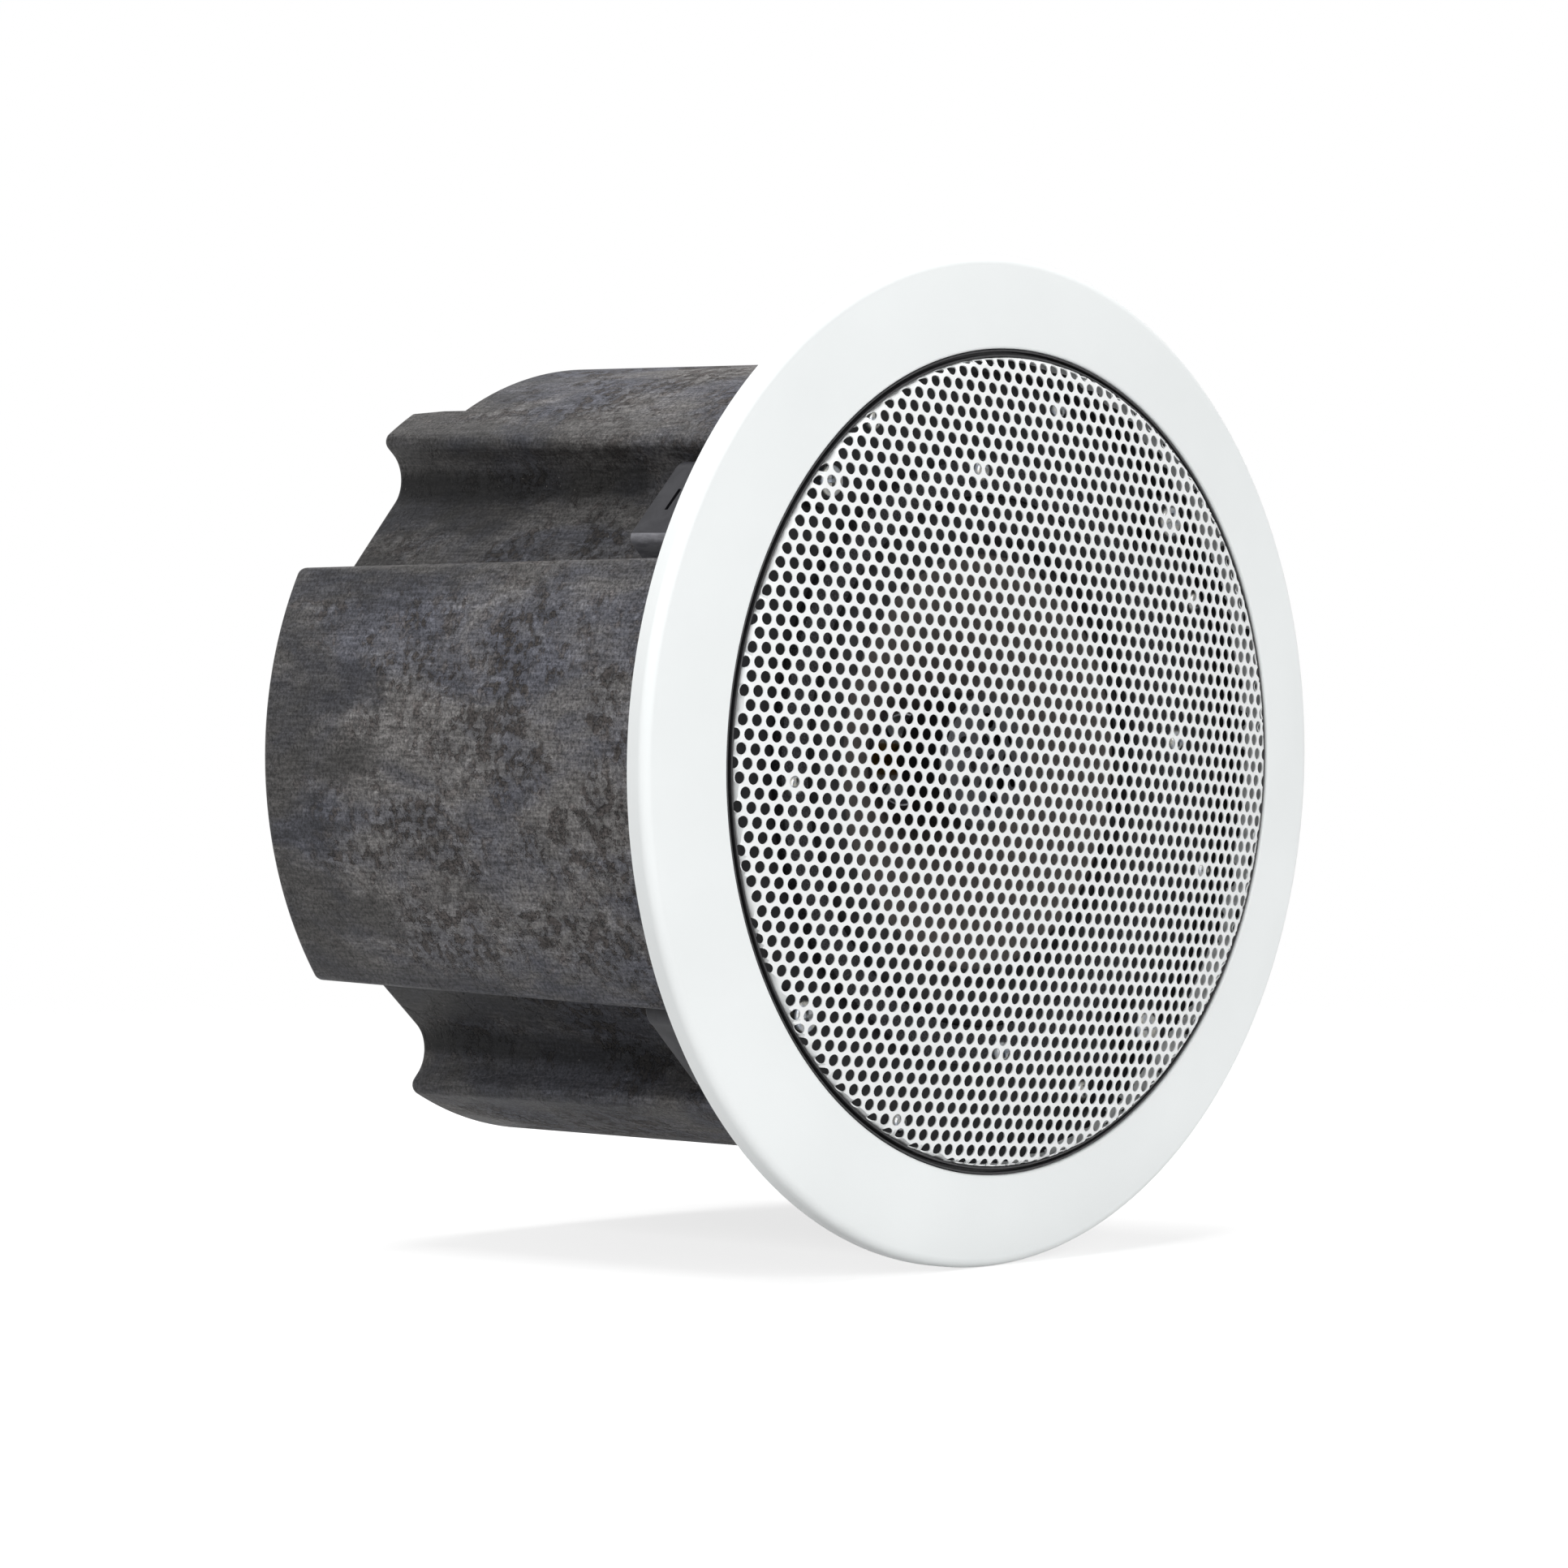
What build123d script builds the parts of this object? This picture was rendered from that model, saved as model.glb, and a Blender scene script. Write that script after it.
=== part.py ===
from build123d import *
from math import cos, hypot, radians, sin, sqrt, tan
import os

os.makedirs("parts", exist_ok=True)

# In ceiling speaker, in millimetres. The speaker's axis is Y: the grille faces -Y, the back can
# reaches to +Y and the origin is on the axis, in the plane where the flange meets the ceiling.

# Trim flange
opening_r = 114.0           # opening for the grille, which sets the speaker's size
flange_w = 26.0             # width of the face
flange_rim = 7.0            # thickness at the outer edge
flange_round = 3.0          # rounding of the outer front edge
flange_rise = 12.2          # height of the inner edge above the ceiling
flange_wall = 3.0           # moulded wall
flange_lip = 0.8            # rounding of the inner edge
rib_count = 16
rib_t = 2.0
trim_screw_count = 8
trim_screw_d = 3.0
trim_boss_r = 3.6

# Foam gasket on the flange's ceiling side
foam_t = 3.0
foam_from_skirt = 3.0
foam_from_boss = 1.9

# Seal ring between grille and flange
seal_w = 2.1
seal_groove = 0.8
seal_lip_drop = 0.5         # how far its lips lie below the flange and the grille
seal_groove_deep = 2.4

# Grille
grille_proud = 1.2          # its edge in front of the flange's inner edge
grille_t = 1.0
dome_rise = 12.7
hem_round = 1.6
grille_pitch = 18.6
grille_hole_d = 12.2
grille_margin = 2.6         # plain sheet beside the hem
hole_sides = 12             # flats of a punched hole

# Baffle
plate_t = 4.0
plate_overlap = 8.0         # how far the plate reaches beyond the opening
ledge_h = 5.2
ledge_w = 6.0

# Back can
can_inset = 2.7             # its wall inside the flange's opening
can_wall = 4.0
can_back = 170.4            # rear face
can_back_round = 2.5
can_gasket_t = 1.5
flute_deep = 18.2           # from the lobes' round to the flute's flat floor
flute_w = 46.6              # at the rear
flute_draft = 1.3           # degrees on each wall, so that the mould lets go
flute_fillet = 9.5
lobe_round = 3.0
flute_count = 4
can_screw_spread = 22.0     # degrees to each side of a lobe's middle
can_screw_d = 3.0
can_boss_r = 4.5
can_boss_h = 22.0
can_boss_sunk = 1.0         # how far a boss merges into the wall

# Gusset beside the clamp dog, in one corner of each flute
stop_from_lobe = 12.8       # its upper edge below the lobes' round
stop_foot = 8.5             # its width on the flute's floor
stop_tail = 2.5             # the same at its rear end, where it runs out
stop_sunk = 1.0             # how far it merges into the flute's corner
stop_back = 70.0
stop_slant = 16.0

# Terminal pocket in the rear of the upper lobe
pocket_deep = 22.0
pocket_h = 32.3             # from its floor to the top of the can
pocket_side = 2.05          # between its side and the flute's wall, at the floor
terminal_plate_w = 66.0
terminal_plate_h = 20.0
terminal_plate_t = 2.5
terminal_w = 42.0
terminal_h = 13.0
terminal_deep = 9.0
terminal_ways = 4
terminal_screw_d = 3.0
terminal_screw_span = 57.0
terminal_hole_d = 5.8       # wells for the wire screws
terminal_hole_deep = 3.2
wire_entry_w = 6.3
wire_entry_h = 5.2
wire_entry_deep = 6.3
wire_entry_low = 2.2        # how far the entries lie below the block's middle
wire_window_w = 36.0
wire_window_h = 9.0

# Clamps
clamp_inset = 9.3           # screw axis inside the lobes' round
clamp_turn = 7.2            # degrees from the flute's middle
clamp_seat = 4.0            # height of the screw's seat on the baffle
clamp_boss_r = 7.5
clamp_screw_d = 5.0
clamp_head_d = 9.0
clamp_head_h = 3.0
clamp_clip_t = 0.8
clamp_clip_d = 9.0
bush_d = 8.8
bush_h = 16.0
dog_back = 48.0             # rear face of the parked dog
dog_h = 20.0
dog_hub_r = 5.6
dog_reach = 27.0
dog_tip_round = 2.5
dog_lean = 2.1              # how far the parked arm leans towards the axis at its tip
dog_arm_w = 11.0
dog_slot_w = 1.2
dog_slot_deep = 2.4
dog_slot_l = 8.0
dog_slot_out = 12.5         # slot's middle from the screw, along the arm
dog_slot_back = 8.0         # slot's front edge from the dog's rear face

# Driver
driver_gap = 10.5           # between the basket and the clamp seats
basket_lap = 8.0            # how far the basket's flange lies on the baffle
basket_t = 1.2
basket_depth = 42.0
spider_seat_r = 55.8
spider_seat_w = 5.8
spider_depth = 37.0
spider_t = 0.6
spider_waves = 4
window_count = 6
window_w = 40.0
window_corner = 3.6
driver_gasket_t = 2.8
driver_screw_count = 4
driver_screw_d = 3.5
driver_head_d = 6.3
roll_r = 6.5                # half roll of the surround
surround_t = 0.8
surround_rim = 4.5
surround_lip = 2.4          # overlap of its inner edge on the cone
cone_clear = 0.5            # between the cone's edge and the roll
cone_t = 0.8
cone_depth = 30.0
cone_flare = 1.6
coil_r = 12.5               # inside of the former
former_t = 0.45
former_front = 27.0
coil_t = 0.95
coil_h = 12.0
pole_gap = 0.4
coil_gap = 0.7
magnet_r = 45.0
magnet_hole_r = 20.0
top_plate_t = 6.0
magnet_t = 15.0
yoke_t = 6.0
yoke_r = 43.0
strip_w = 18.0
strip_h = 7.0
strip_t = 5.0
tab_w = 4.8
tab_l = 8.0
tab_t = 0.8

# Tweeter
tweeter_r = 19.0
tweeter_back = 14.0
tweeter_floor = 2.0         # floor of its front recess
tweeter_front = -3.0
tweeter_rim = 3.5
dome_r = 12.0
dome_h = 3.4
dome_t = 0.4
screen_rise = 2.6
screen_t = 0.5
screen_pitch = 6.6
screen_hole_d = 4.4
post_r = 4.5
post_sunk = 6.0
post_nut_r = 8.0
post_nut_t = 4.0
post_end = 3.0

# Crossover and damping
board_w = 90.0
board_h = 66.0
board_t = 1.6
board_mid = -18.0
board_stand = 12.0
board_post_r = 3.5
board_inset = 6.0
capacitor_r = 8.0
capacitor_l = 30.0
capacitor_step = 20.0
inductor_r = 17.0
inductor_hole_r = 6.0
inductor_h = 14.0
pad_t = 10.0
pad_front = 40.0
pad_back = 135.0

# Clearances
fit = 0.2                   # between pieces that are pressed or laid together
run = 0.1                   # between pieces that turn or slide on each other
glue = 0.3                  # glue lines at the moving cone
screw_slack = 0.3           # radius of a clearance hole over its screw
pilot_slack = 0.05          # radius of a screw's thread hole over its shank

# Places that follow from the sizes
flange_r = opening_r + flange_w
can_r = opening_r - can_inset
flute_floor = can_r - flute_deep
flute_length = 2 * flute_deep
stop_high = can_r - stop_from_lobe
stop_corner = flute_floor + flute_fillet - (flute_fillet + can_wall / 2) * cos(radians(45))
pocket_floor = can_r - pocket_h
pocket_w = 2 * (pocket_floor - flute_w / sqrt(2) - pocket_side)
clamp_r = can_r - clamp_inset
basket_r = clamp_r - clamp_boss_r - driver_gap
cutout_r = basket_r - basket_lap
roll_mid = cutout_r - 2 * basket_t - roll_r - run
cone_r = roll_mid - roll_r - cone_clear
seal_out = opening_r - fit
seal_in = seal_out - seal_w
grille_r = seal_in - fit
grille_edge = -(flange_rise + grille_proud)
dome_sphere = (grille_r ** 2 + dome_rise ** 2) / (2 * dome_rise)
plate_r = opening_r + plate_overlap
can_front = plate_t + can_gasket_t
can_screw_r = can_r - can_wall - can_boss_r + can_boss_sunk
trim_screw_r = opening_r + flange_wall + trim_screw_d / 2
driver_screw_r = (basket_r + cutout_r + basket_t) / 2
pocket_front = can_back - pocket_deep
dog_front = dog_back - dog_h
face_slope = (flange_rise - flange_rim) / (flange_r - flange_round - opening_r - flange_lip)
screw_head = 0.75           # height of a small screw's head, as a share of its diameter


# Cross-section plane at depth y: local x is X, local y is Z, and it faces the front
def across(y):
    return Plane.XZ.offset(-y)


# Plane of a clamp at depth y: local x points away from the axis, local y along the parked dog
def clamp_plane(k, y):
    turn = radians(45 + 360 / flute_count * k - clamp_turn)
    middle = (clamp_r * cos(turn), y, clamp_r * sin(turn))
    return Plane(origin=middle, x_dir=(cos(turn), 0, sin(turn)), z_dir=(0, -1, 0))


# Depth of a sphere's cap at a distance from the axis
def cap_depth(sphere, distance):
    return sphere - sqrt(sphere ** 2 - distance ** 2)


# Points of a hexagonal pattern that stay inside a circle
def hex_points(pitch, reach):
    n = int(reach / pitch) + 2
    row_step = pitch * sqrt(3) / 2
    points = [((i + j / 2) * pitch, j * row_step) for j in range(-n, n) for i in range(-2 * n, 2 * n)]
    return [p for p in points if hypot(*p) <= reach]


# Width of a flute at a depth: its walls close in towards the front
def flute_span(y):
    return flute_w - 2 * tan(radians(flute_draft)) * (can_back - y)


# Space of one flute, grown by inset for the wall's inner side
def flute_space(k, inset):
    middle = radians(45 + 360 / flute_count * k)
    floor_plane = Plane(
        origin=((flute_floor - inset) * cos(middle), 0, (flute_floor - inset) * sin(middle)),
        x_dir=(0, 1, 0),
        z_dir=(cos(middle), 0, sin(middle)),
    )
    with BuildPart(mode=Mode.PRIVATE) as space:
        with BuildSketch(floor_plane):
            with BuildLine():
                Polyline(
                    (0, -flute_span(0) / 2 - inset),
                    (2 * can_back, -flute_span(2 * can_back) / 2 - inset),
                    (2 * can_back, flute_span(2 * can_back) / 2 + inset),
                    (0, flute_span(0) / 2 + inset),
                    close=True,
                )
            make_face()
        extrude(amount=flute_length)
        floor_face = space.faces().sort_by(lambda f: f.center().dot(Vector(cos(middle), 0, sin(middle))))[0]
        fillet(floor_face.edges().sort_by(Axis.Y)[1:3], flute_fillet + inset)
    return space.part


# Form of the can between two depths: a cylinder with four flutes, moved in by inset from the outer surface
def lobe_form(inset, front, back):
    with BuildPart(mode=Mode.PRIVATE) as form:
        with BuildSketch(across(front)):
            Circle(can_r - inset)
        extrude(amount=-(back - front))
        for k in range(flute_count):
            add(flute_space(k, inset), mode=Mode.SUBTRACT)
        if inset < lobe_round:
            mouths = [
                e for e in form.edges()
                if front < e.center().Y < back
                and hypot(e.center().X, e.center().Z) > can_r - inset - 0.01
                and min(abs(e.center().X), abs(e.center().Z)) > flute_fillet
            ]
            fillet(mouths, lobe_round - inset)
    return form.part


# Trim flange: a white moulded ring with a hollow, ribbed back.
# Screws from behind hold it on the baffle.
with BuildPart() as trim_flange:
    with BuildSketch(Plane.XY):
        with BuildLine():
            back = Line((opening_r, 0), (flange_r, 0))
            skirt = Line(back @ 1, (flange_r, flange_round - flange_rim))
            edge = RadiusArc(skirt @ 1, (flange_r - flange_round, -flange_rim), -flange_round)
            face = Line(edge @ 1, (opening_r + flange_lip, -flange_rise))
            lip = RadiusArc(face @ 1, (opening_r, flange_lip - flange_rise), -flange_lip)
            Line(lip @ 1, back @ 0)
        make_face()
    revolve(axis=Axis.Y)
    hollow_in = opening_r + flange_wall
    hollow_out = flange_r - flange_wall
    deep_out = flange_rim - flange_wall
    deep_in = deep_out + face_slope * (hollow_out - hollow_in)
    with BuildSketch(Plane.XY):
        with BuildLine():
            Polyline(
                (hollow_in, 0),
                (hollow_out, 0),
                (hollow_out, -deep_out),
                (hollow_in, -deep_in),
                close=True,
            )
        make_face()
    revolve(axis=Axis.Y, mode=Mode.SUBTRACT)
    for i in range(rib_count):
        with BuildSketch(Plane.XY.rotated((0, 360 / rib_count * i, 0))):
            with BuildLine():
                Polyline(
                    (hollow_in - rib_t / 2, -foam_t),
                    (hollow_out + rib_t / 2, -foam_t),
                    (hollow_out + rib_t / 2, -deep_out - rib_t / 2),
                    (hollow_in - rib_t / 2, -deep_in - rib_t / 2),
                    close=True,
                )
            make_face()
        extrude(amount=rib_t / 2, both=True)
    with BuildSketch(Plane.XZ):
        with PolarLocations(trim_screw_r, trim_screw_count, start_angle=180 / trim_screw_count):
            Circle(trim_boss_r)
    extrude(amount=deep_in + rib_t / 2)
    with BuildSketch(Plane.XZ):
        with PolarLocations(trim_screw_r, trim_screw_count, start_angle=180 / trim_screw_count):
            Circle(trim_screw_d / 2 + pilot_slack)
    extrude(amount=deep_in, mode=Mode.SUBTRACT)
trim_flange.part.label = "trim_flange"
export_step(trim_flange.part, "parts/trim_flange.step")

# Foam gasket: a flat ring under the flange that seals against the ceiling.
with BuildPart() as ceiling_gasket:
    with BuildSketch(Plane.XZ):
        Circle(flange_r - flange_wall - foam_from_skirt)
        Circle(trim_screw_r + trim_boss_r + foam_from_boss, mode=Mode.SUBTRACT)
    extrude(amount=foam_t)
ceiling_gasket.part.label = "ceiling_gasket"
export_step(ceiling_gasket.part, "parts/ceiling_gasket.step")

# Baffle: a black moulded plate with the driver's hole, a ledge for the grille and seats for
# the clamp screws.
with BuildPart() as baffle:
    with BuildSketch(Plane.XY):
        with BuildLine():
            Polyline(
                (cutout_r, 0),
                (seal_out - ledge_w, 0),
                (seal_out - ledge_w, -ledge_h),
                (seal_out, -ledge_h),
                (seal_out, 0),
                (plate_r, 0),
                (plate_r, plate_t),
                (cutout_r, plate_t),
                close=True,
            )
        make_face()
    revolve(axis=Axis.Y)
    for k in range(flute_count):
        with BuildSketch(clamp_plane(k, 0)):
            Circle(clamp_boss_r)
        extrude(amount=clamp_seat)
        with BuildSketch(clamp_plane(k, plate_t)):
            Circle(clamp_screw_d / 2 + screw_slack)
        extrude(amount=plate_t + clamp_seat, mode=Mode.SUBTRACT)
    with BuildSketch(across(plate_t)):
        for side in (-1, 1):
            with PolarLocations(can_screw_r, flute_count, start_angle=side * can_screw_spread):
                Circle(can_screw_d / 2 + screw_slack)
        with PolarLocations(trim_screw_r, trim_screw_count, start_angle=180 / trim_screw_count):
            Circle(trim_screw_d / 2 + screw_slack)
        with PolarLocations(driver_screw_r, driver_screw_count):
            Circle(driver_screw_d / 2 + pilot_slack)
    extrude(amount=plate_t, mode=Mode.SUBTRACT)
baffle.part.label = "baffle"
export_step(baffle.part, "parts/baffle.step")

# Trim screws: small pan heads behind the plate, threaded into the flange's bosses.
with BuildPart() as trim_screws:
    with BuildSketch(across(plate_t)):
        with PolarLocations(trim_screw_r, trim_screw_count, start_angle=180 / trim_screw_count):
            Circle(trim_screw_d)
    extrude(amount=-trim_screw_d * screw_head)
    with BuildSketch(across(plate_t)):
        with PolarLocations(trim_screw_r, trim_screw_count, start_angle=180 / trim_screw_count):
            Circle(trim_screw_d / 2)
    extrude(amount=plate_t + deep_in - rib_t)
trim_screws.part.label = "trim_screws"
export_step(trim_screws.part, "parts/trim_screws.step")

# Grille: a domed sheet with round holes and a turned-back hem that stands on the baffle's ledge.
with BuildPart() as grille:
    crown = grille_edge - dome_rise
    inner_edge = crown + grille_t + cap_depth(dome_sphere - grille_t, grille_r - grille_t)
    with BuildSketch(Plane.XY) as sheet:
        with BuildLine():
            half = grille_r / 2
            shoulder = crown + cap_depth(dome_sphere, half)
            front = ThreePointArc((0, crown), (half, shoulder), (grille_r, grille_edge))
            hem = Line(front @ 1, (grille_r, -ledge_h))
            turn = Line(hem @ 1, (grille_r - grille_t, -ledge_h))
            inside = Line(turn @ 1, (grille_r - grille_t, inner_edge))
            under = crown + grille_t + cap_depth(dome_sphere - grille_t, half)
            rear = ThreePointArc(inside @ 1, (half, under), (0, crown + grille_t))
            Line(rear @ 1, front @ 0)
        make_face()
        fillet(sheet.vertices().sort_by_distance((grille_r, grille_edge))[0], hem_round)
    revolve(axis=Axis.Y)
    with BuildSketch(across(crown - grille_t)):
        reach = grille_r - grille_margin - hem_round - grille_hole_d / 2
        with Locations(*hex_points(grille_pitch, reach)):
            RegularPolygon(grille_hole_d / 2, hole_sides)
    extrude(amount=-(dome_rise + 2 * grille_t), mode=Mode.SUBTRACT)
grille.part.label = "grille"
export_step(grille.part, "parts/grille.step")

# Seal ring: black rubber with two lips and a groove, pressed between the grille's hem and the flange.
with BuildPart() as grille_seal:
    lip_w = (seal_w - seal_groove) / 2
    lip_out = seal_lip_drop - flange_rise
    lip_in = seal_lip_drop + hem_round / 2 + grille_edge
    with BuildSketch(Plane.XY):
        with BuildLine():
            Polyline(
                (seal_in, -ledge_h),
                (seal_out, -ledge_h),
                (seal_out, lip_out),
                (seal_out - lip_w, lip_out),
                (seal_out - lip_w, lip_out + seal_groove_deep),
                (seal_in + lip_w, lip_out + seal_groove_deep),
                (seal_in + lip_w, lip_in),
                (seal_in, lip_in),
                close=True,
            )
        make_face()
    revolve(axis=Axis.Y)
grille_seal.part.label = "grille_seal"
export_step(grille_seal.part, "parts/grille_seal.step")

# Air space inside the can, with the pocket's walls left standing in it.
with BuildPart() as can_cavity:
    add(lobe_form(can_wall, can_front, can_back - can_wall))
    with BuildSketch(across(pocket_front - can_wall)):
        with Locations((0, (pocket_floor - can_wall + can_r) / 2)):
            Rectangle(pocket_w + 2 * can_wall, can_r - pocket_floor + can_wall)
    extrude(amount=-(pocket_deep + can_wall), mode=Mode.SUBTRACT)

# Back can: a deep structural foam moulding with four lobes, open in front and closed behind.
with BuildPart() as back_can:
    add(lobe_form(0, can_front, can_back))
    fillet(back_can.edges().group_by(Axis.Y)[-1], can_back_round)
    add(can_cavity.part, mode=Mode.SUBTRACT)
    with BuildSketch(across(pocket_front)):
        with Locations((0, (pocket_floor + can_r) / 2 + can_wall)):
            Rectangle(pocket_w, can_r - pocket_floor + 2 * can_wall)
    extrude(amount=-(pocket_deep + can_wall), mode=Mode.SUBTRACT)
    with BuildSketch(across(pocket_front)):
        with Locations((0, pocket_floor + terminal_plate_h / 2 + fit)):
            Rectangle(wire_window_w, wire_window_h)
            with GridLocations(terminal_screw_span, 1, 2, 1):
                Circle(terminal_screw_d / 2 + pilot_slack)
    extrude(amount=can_wall, mode=Mode.SUBTRACT)
    for side in (-1, 1):
        with BuildSketch(across(can_front)):
            with PolarLocations(can_screw_r, flute_count, start_angle=side * can_screw_spread):
                Circle(can_boss_r)
        extrude(amount=-can_boss_h)
        with BuildSketch(across(can_front)):
            with PolarLocations(can_screw_r, flute_count, start_angle=side * can_screw_spread):
                Circle(can_screw_d / 2 + pilot_slack)
        extrude(amount=-(can_boss_h - can_screw_d), mode=Mode.SUBTRACT)
    with BuildSketch(across(can_back - can_wall)):
        with Locations((0, board_mid)):
            with GridLocations(board_w - 2 * board_inset, board_h - 2 * board_inset, 2, 2):
                Circle(board_post_r)
    extrude(amount=board_stand)
    for k in range(flute_count):
        middle = radians(45 + 360 / flute_count * k)
        corner_plane = Plane(
            origin=(0, can_front, 0),
            x_dir=(cos(middle), 0, sin(middle)),
            z_dir=(0, 1, 0),
        )
        for start, end, front_foot, rear_foot in (
            (0, stop_back - stop_slant - can_front, stop_foot, stop_foot),
            (stop_back - stop_slant - can_front, stop_back - can_front, stop_foot, stop_tail),
        ):
            with BuildPart() as gusset:
                for along, foot in ((start, front_foot), (end, rear_foot)):
                    wall = flute_span(can_front + along) / 2
                    with BuildSketch(corner_plane.offset(along)):
                        with BuildLine():
                            Polyline(
                                (stop_high, wall + stop_sunk),
                                (stop_high, wall),
                                (flute_floor, wall - foot),
                                (flute_floor - stop_sunk, wall - foot),
                                (stop_corner, wall + flute_floor - stop_corner),
                                close=True,
                            )
                        make_face()
                loft(ruled=True)
            add(gusset.part)
back_can.part.label = "back_can"
export_step(back_can.part, "parts/back_can.step")

# Can gasket: a thin foam line between the can's front edge and the baffle.
with BuildPart() as can_gasket:
    add(lobe_form(0, plate_t, can_front))
    add(lobe_form(can_wall, plate_t, can_front), mode=Mode.SUBTRACT)
can_gasket.part.label = "can_gasket"
export_step(can_gasket.part, "parts/can_gasket.step")

# Can screws: pan heads on the front of the baffle, threaded into the bosses of the can.
with BuildPart() as can_screws:
    for side in (-1, 1):
        with BuildSketch(Plane.XZ):
            with PolarLocations(can_screw_r, flute_count, start_angle=side * can_screw_spread):
                Circle(can_screw_d)
        extrude(amount=can_screw_d * screw_head)
        with BuildSketch(Plane.XZ):
            with PolarLocations(can_screw_r, flute_count, start_angle=side * can_screw_spread):
                Circle(can_screw_d / 2)
        extrude(amount=-(can_front + can_boss_h - 2 * can_screw_d))
can_screws.part.label = "can_screws"
export_step(can_screws.part, "parts/can_screws.step")

# Clamps: in each flute a long screw, a clip that keeps it in the baffle, a threaded bush that runs
# along it, and a plastic dog that swings on the bush from its parked place in the flute.
for k in range(flute_count):
    with BuildPart() as clamp_screw:
        with BuildSketch(clamp_plane(k, -clamp_seat)):
            Circle(clamp_head_d / 2)
        extrude(amount=clamp_head_h)
        fillet(clamp_screw.edges().group_by(Axis.Y)[0], clamp_head_h / 3)
        with BuildSketch(clamp_plane(k, -clamp_seat)):
            Circle(clamp_screw_d / 2)
        extrude(amount=-(clamp_seat + dog_back - glue))
    clamp_screw.part.label = f"clamp_screw_{k + 1}"
    export_step(clamp_screw.part, f"parts/clamp_screw_{k + 1}.step")

    with BuildPart() as clamp_clip:
        with BuildSketch(clamp_plane(k, plate_t + glue)):
            Circle(clamp_clip_d / 2)
            Circle(clamp_screw_d / 2, mode=Mode.SUBTRACT)
        extrude(amount=-clamp_clip_t)
    clamp_clip.part.label = f"clamp_clip_{k + 1}"
    export_step(clamp_clip.part, f"parts/clamp_clip_{k + 1}.step")

    bush_front = dog_front + (dog_h - bush_h) / 2
    with BuildPart() as clamp_bush:
        with BuildSketch(clamp_plane(k, bush_front)):
            Circle(bush_d / 2)
            Circle(clamp_screw_d / 2 + run, mode=Mode.SUBTRACT)
        extrude(amount=-bush_h)
    clamp_bush.part.label = f"clamp_bush_{k + 1}"
    export_step(clamp_bush.part, f"parts/clamp_bush_{k + 1}.step")

    with BuildPart() as clamp_dog:
        with BuildSketch(clamp_plane(k, dog_front)) as dog_outline:
            Circle(dog_hub_r)
            with BuildLine():
                Polyline(
                    (-dog_arm_w / 2, 0),
                    (dog_arm_w / 2, 0),
                    (dog_arm_w / 2 - dog_lean, dog_reach),
                    (-dog_arm_w / 2 - dog_lean, dog_reach),
                    close=True,
                )
            make_face()
            fillet(dog_outline.vertices().sort_by(Axis.Y)[-2:], dog_tip_round)
        extrude(amount=-dog_h)
        with BuildSketch(clamp_plane(k, dog_front)):
            Circle(clamp_screw_d / 2 + screw_slack)
        extrude(amount=-dog_h, mode=Mode.SUBTRACT)
        with BuildSketch(clamp_plane(k, bush_front - run)):
            Circle(bush_d / 2 + run)
        extrude(amount=-(bush_h + 2 * run), mode=Mode.SUBTRACT)
        with BuildSketch(clamp_plane(k, dog_back - dog_slot_back)):
            with Locations((dog_arm_w / 2, dog_slot_out)):
                Rectangle(2 * dog_slot_deep, dog_slot_l)
        extrude(amount=-dog_slot_w, mode=Mode.SUBTRACT)
    clamp_dog.part.label = f"clamp_dog_{k + 1}"
    export_step(clamp_dog.part, f"parts/clamp_dog_{k + 1}.step")

# Driver basket: pressed steel with a front flange, six windows, a spider seat and a floor
# for the magnet.
wall_front = cutout_r - basket_t
wall_back = spider_seat_r + basket_t
with BuildPart() as basket:
    with BuildSketch(Plane.XY):
        with BuildLine():
            Polyline(
                (basket_r, -basket_t),
                (basket_r, 0),
                (wall_front, 0),
                (wall_front, basket_t * 2),
                (wall_back, spider_depth - basket_t * 2),
                (wall_back, spider_depth + basket_t),
                (magnet_r, basket_depth),
                (magnet_hole_r, basket_depth),
                (magnet_hole_r, basket_depth - basket_t),
                (magnet_r - basket_t / 2, basket_depth - basket_t),
                (spider_seat_r - spider_seat_w, spider_depth + basket_t / 2),
                (spider_seat_r - spider_seat_w, spider_depth),
                (spider_seat_r, spider_depth),
                (spider_seat_r, spider_depth - basket_t * 2),
                (wall_front - basket_t, basket_t * 2),
                (wall_front - basket_t, -basket_t),
                close=True,
            )
        make_face()
    revolve(axis=Axis.Y)
    window_mid = (wall_front + wall_back) / 2
    with BuildSketch(across(basket_t * 4)):
        with PolarLocations(window_mid, window_count, start_angle=180 / window_count):
            RectangleRounded(wall_front - wall_back + 8 * basket_t, window_w, window_corner)
    extrude(amount=-(spider_depth - basket_t * 8), mode=Mode.SUBTRACT)
    with BuildSketch(Plane.XZ):
        with PolarLocations(driver_screw_r, driver_screw_count):
            Circle(driver_screw_d / 2 + screw_slack)
    extrude(amount=basket_t, mode=Mode.SUBTRACT)
basket.part.label = "basket"
export_step(basket.part, "parts/basket.step")

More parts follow.
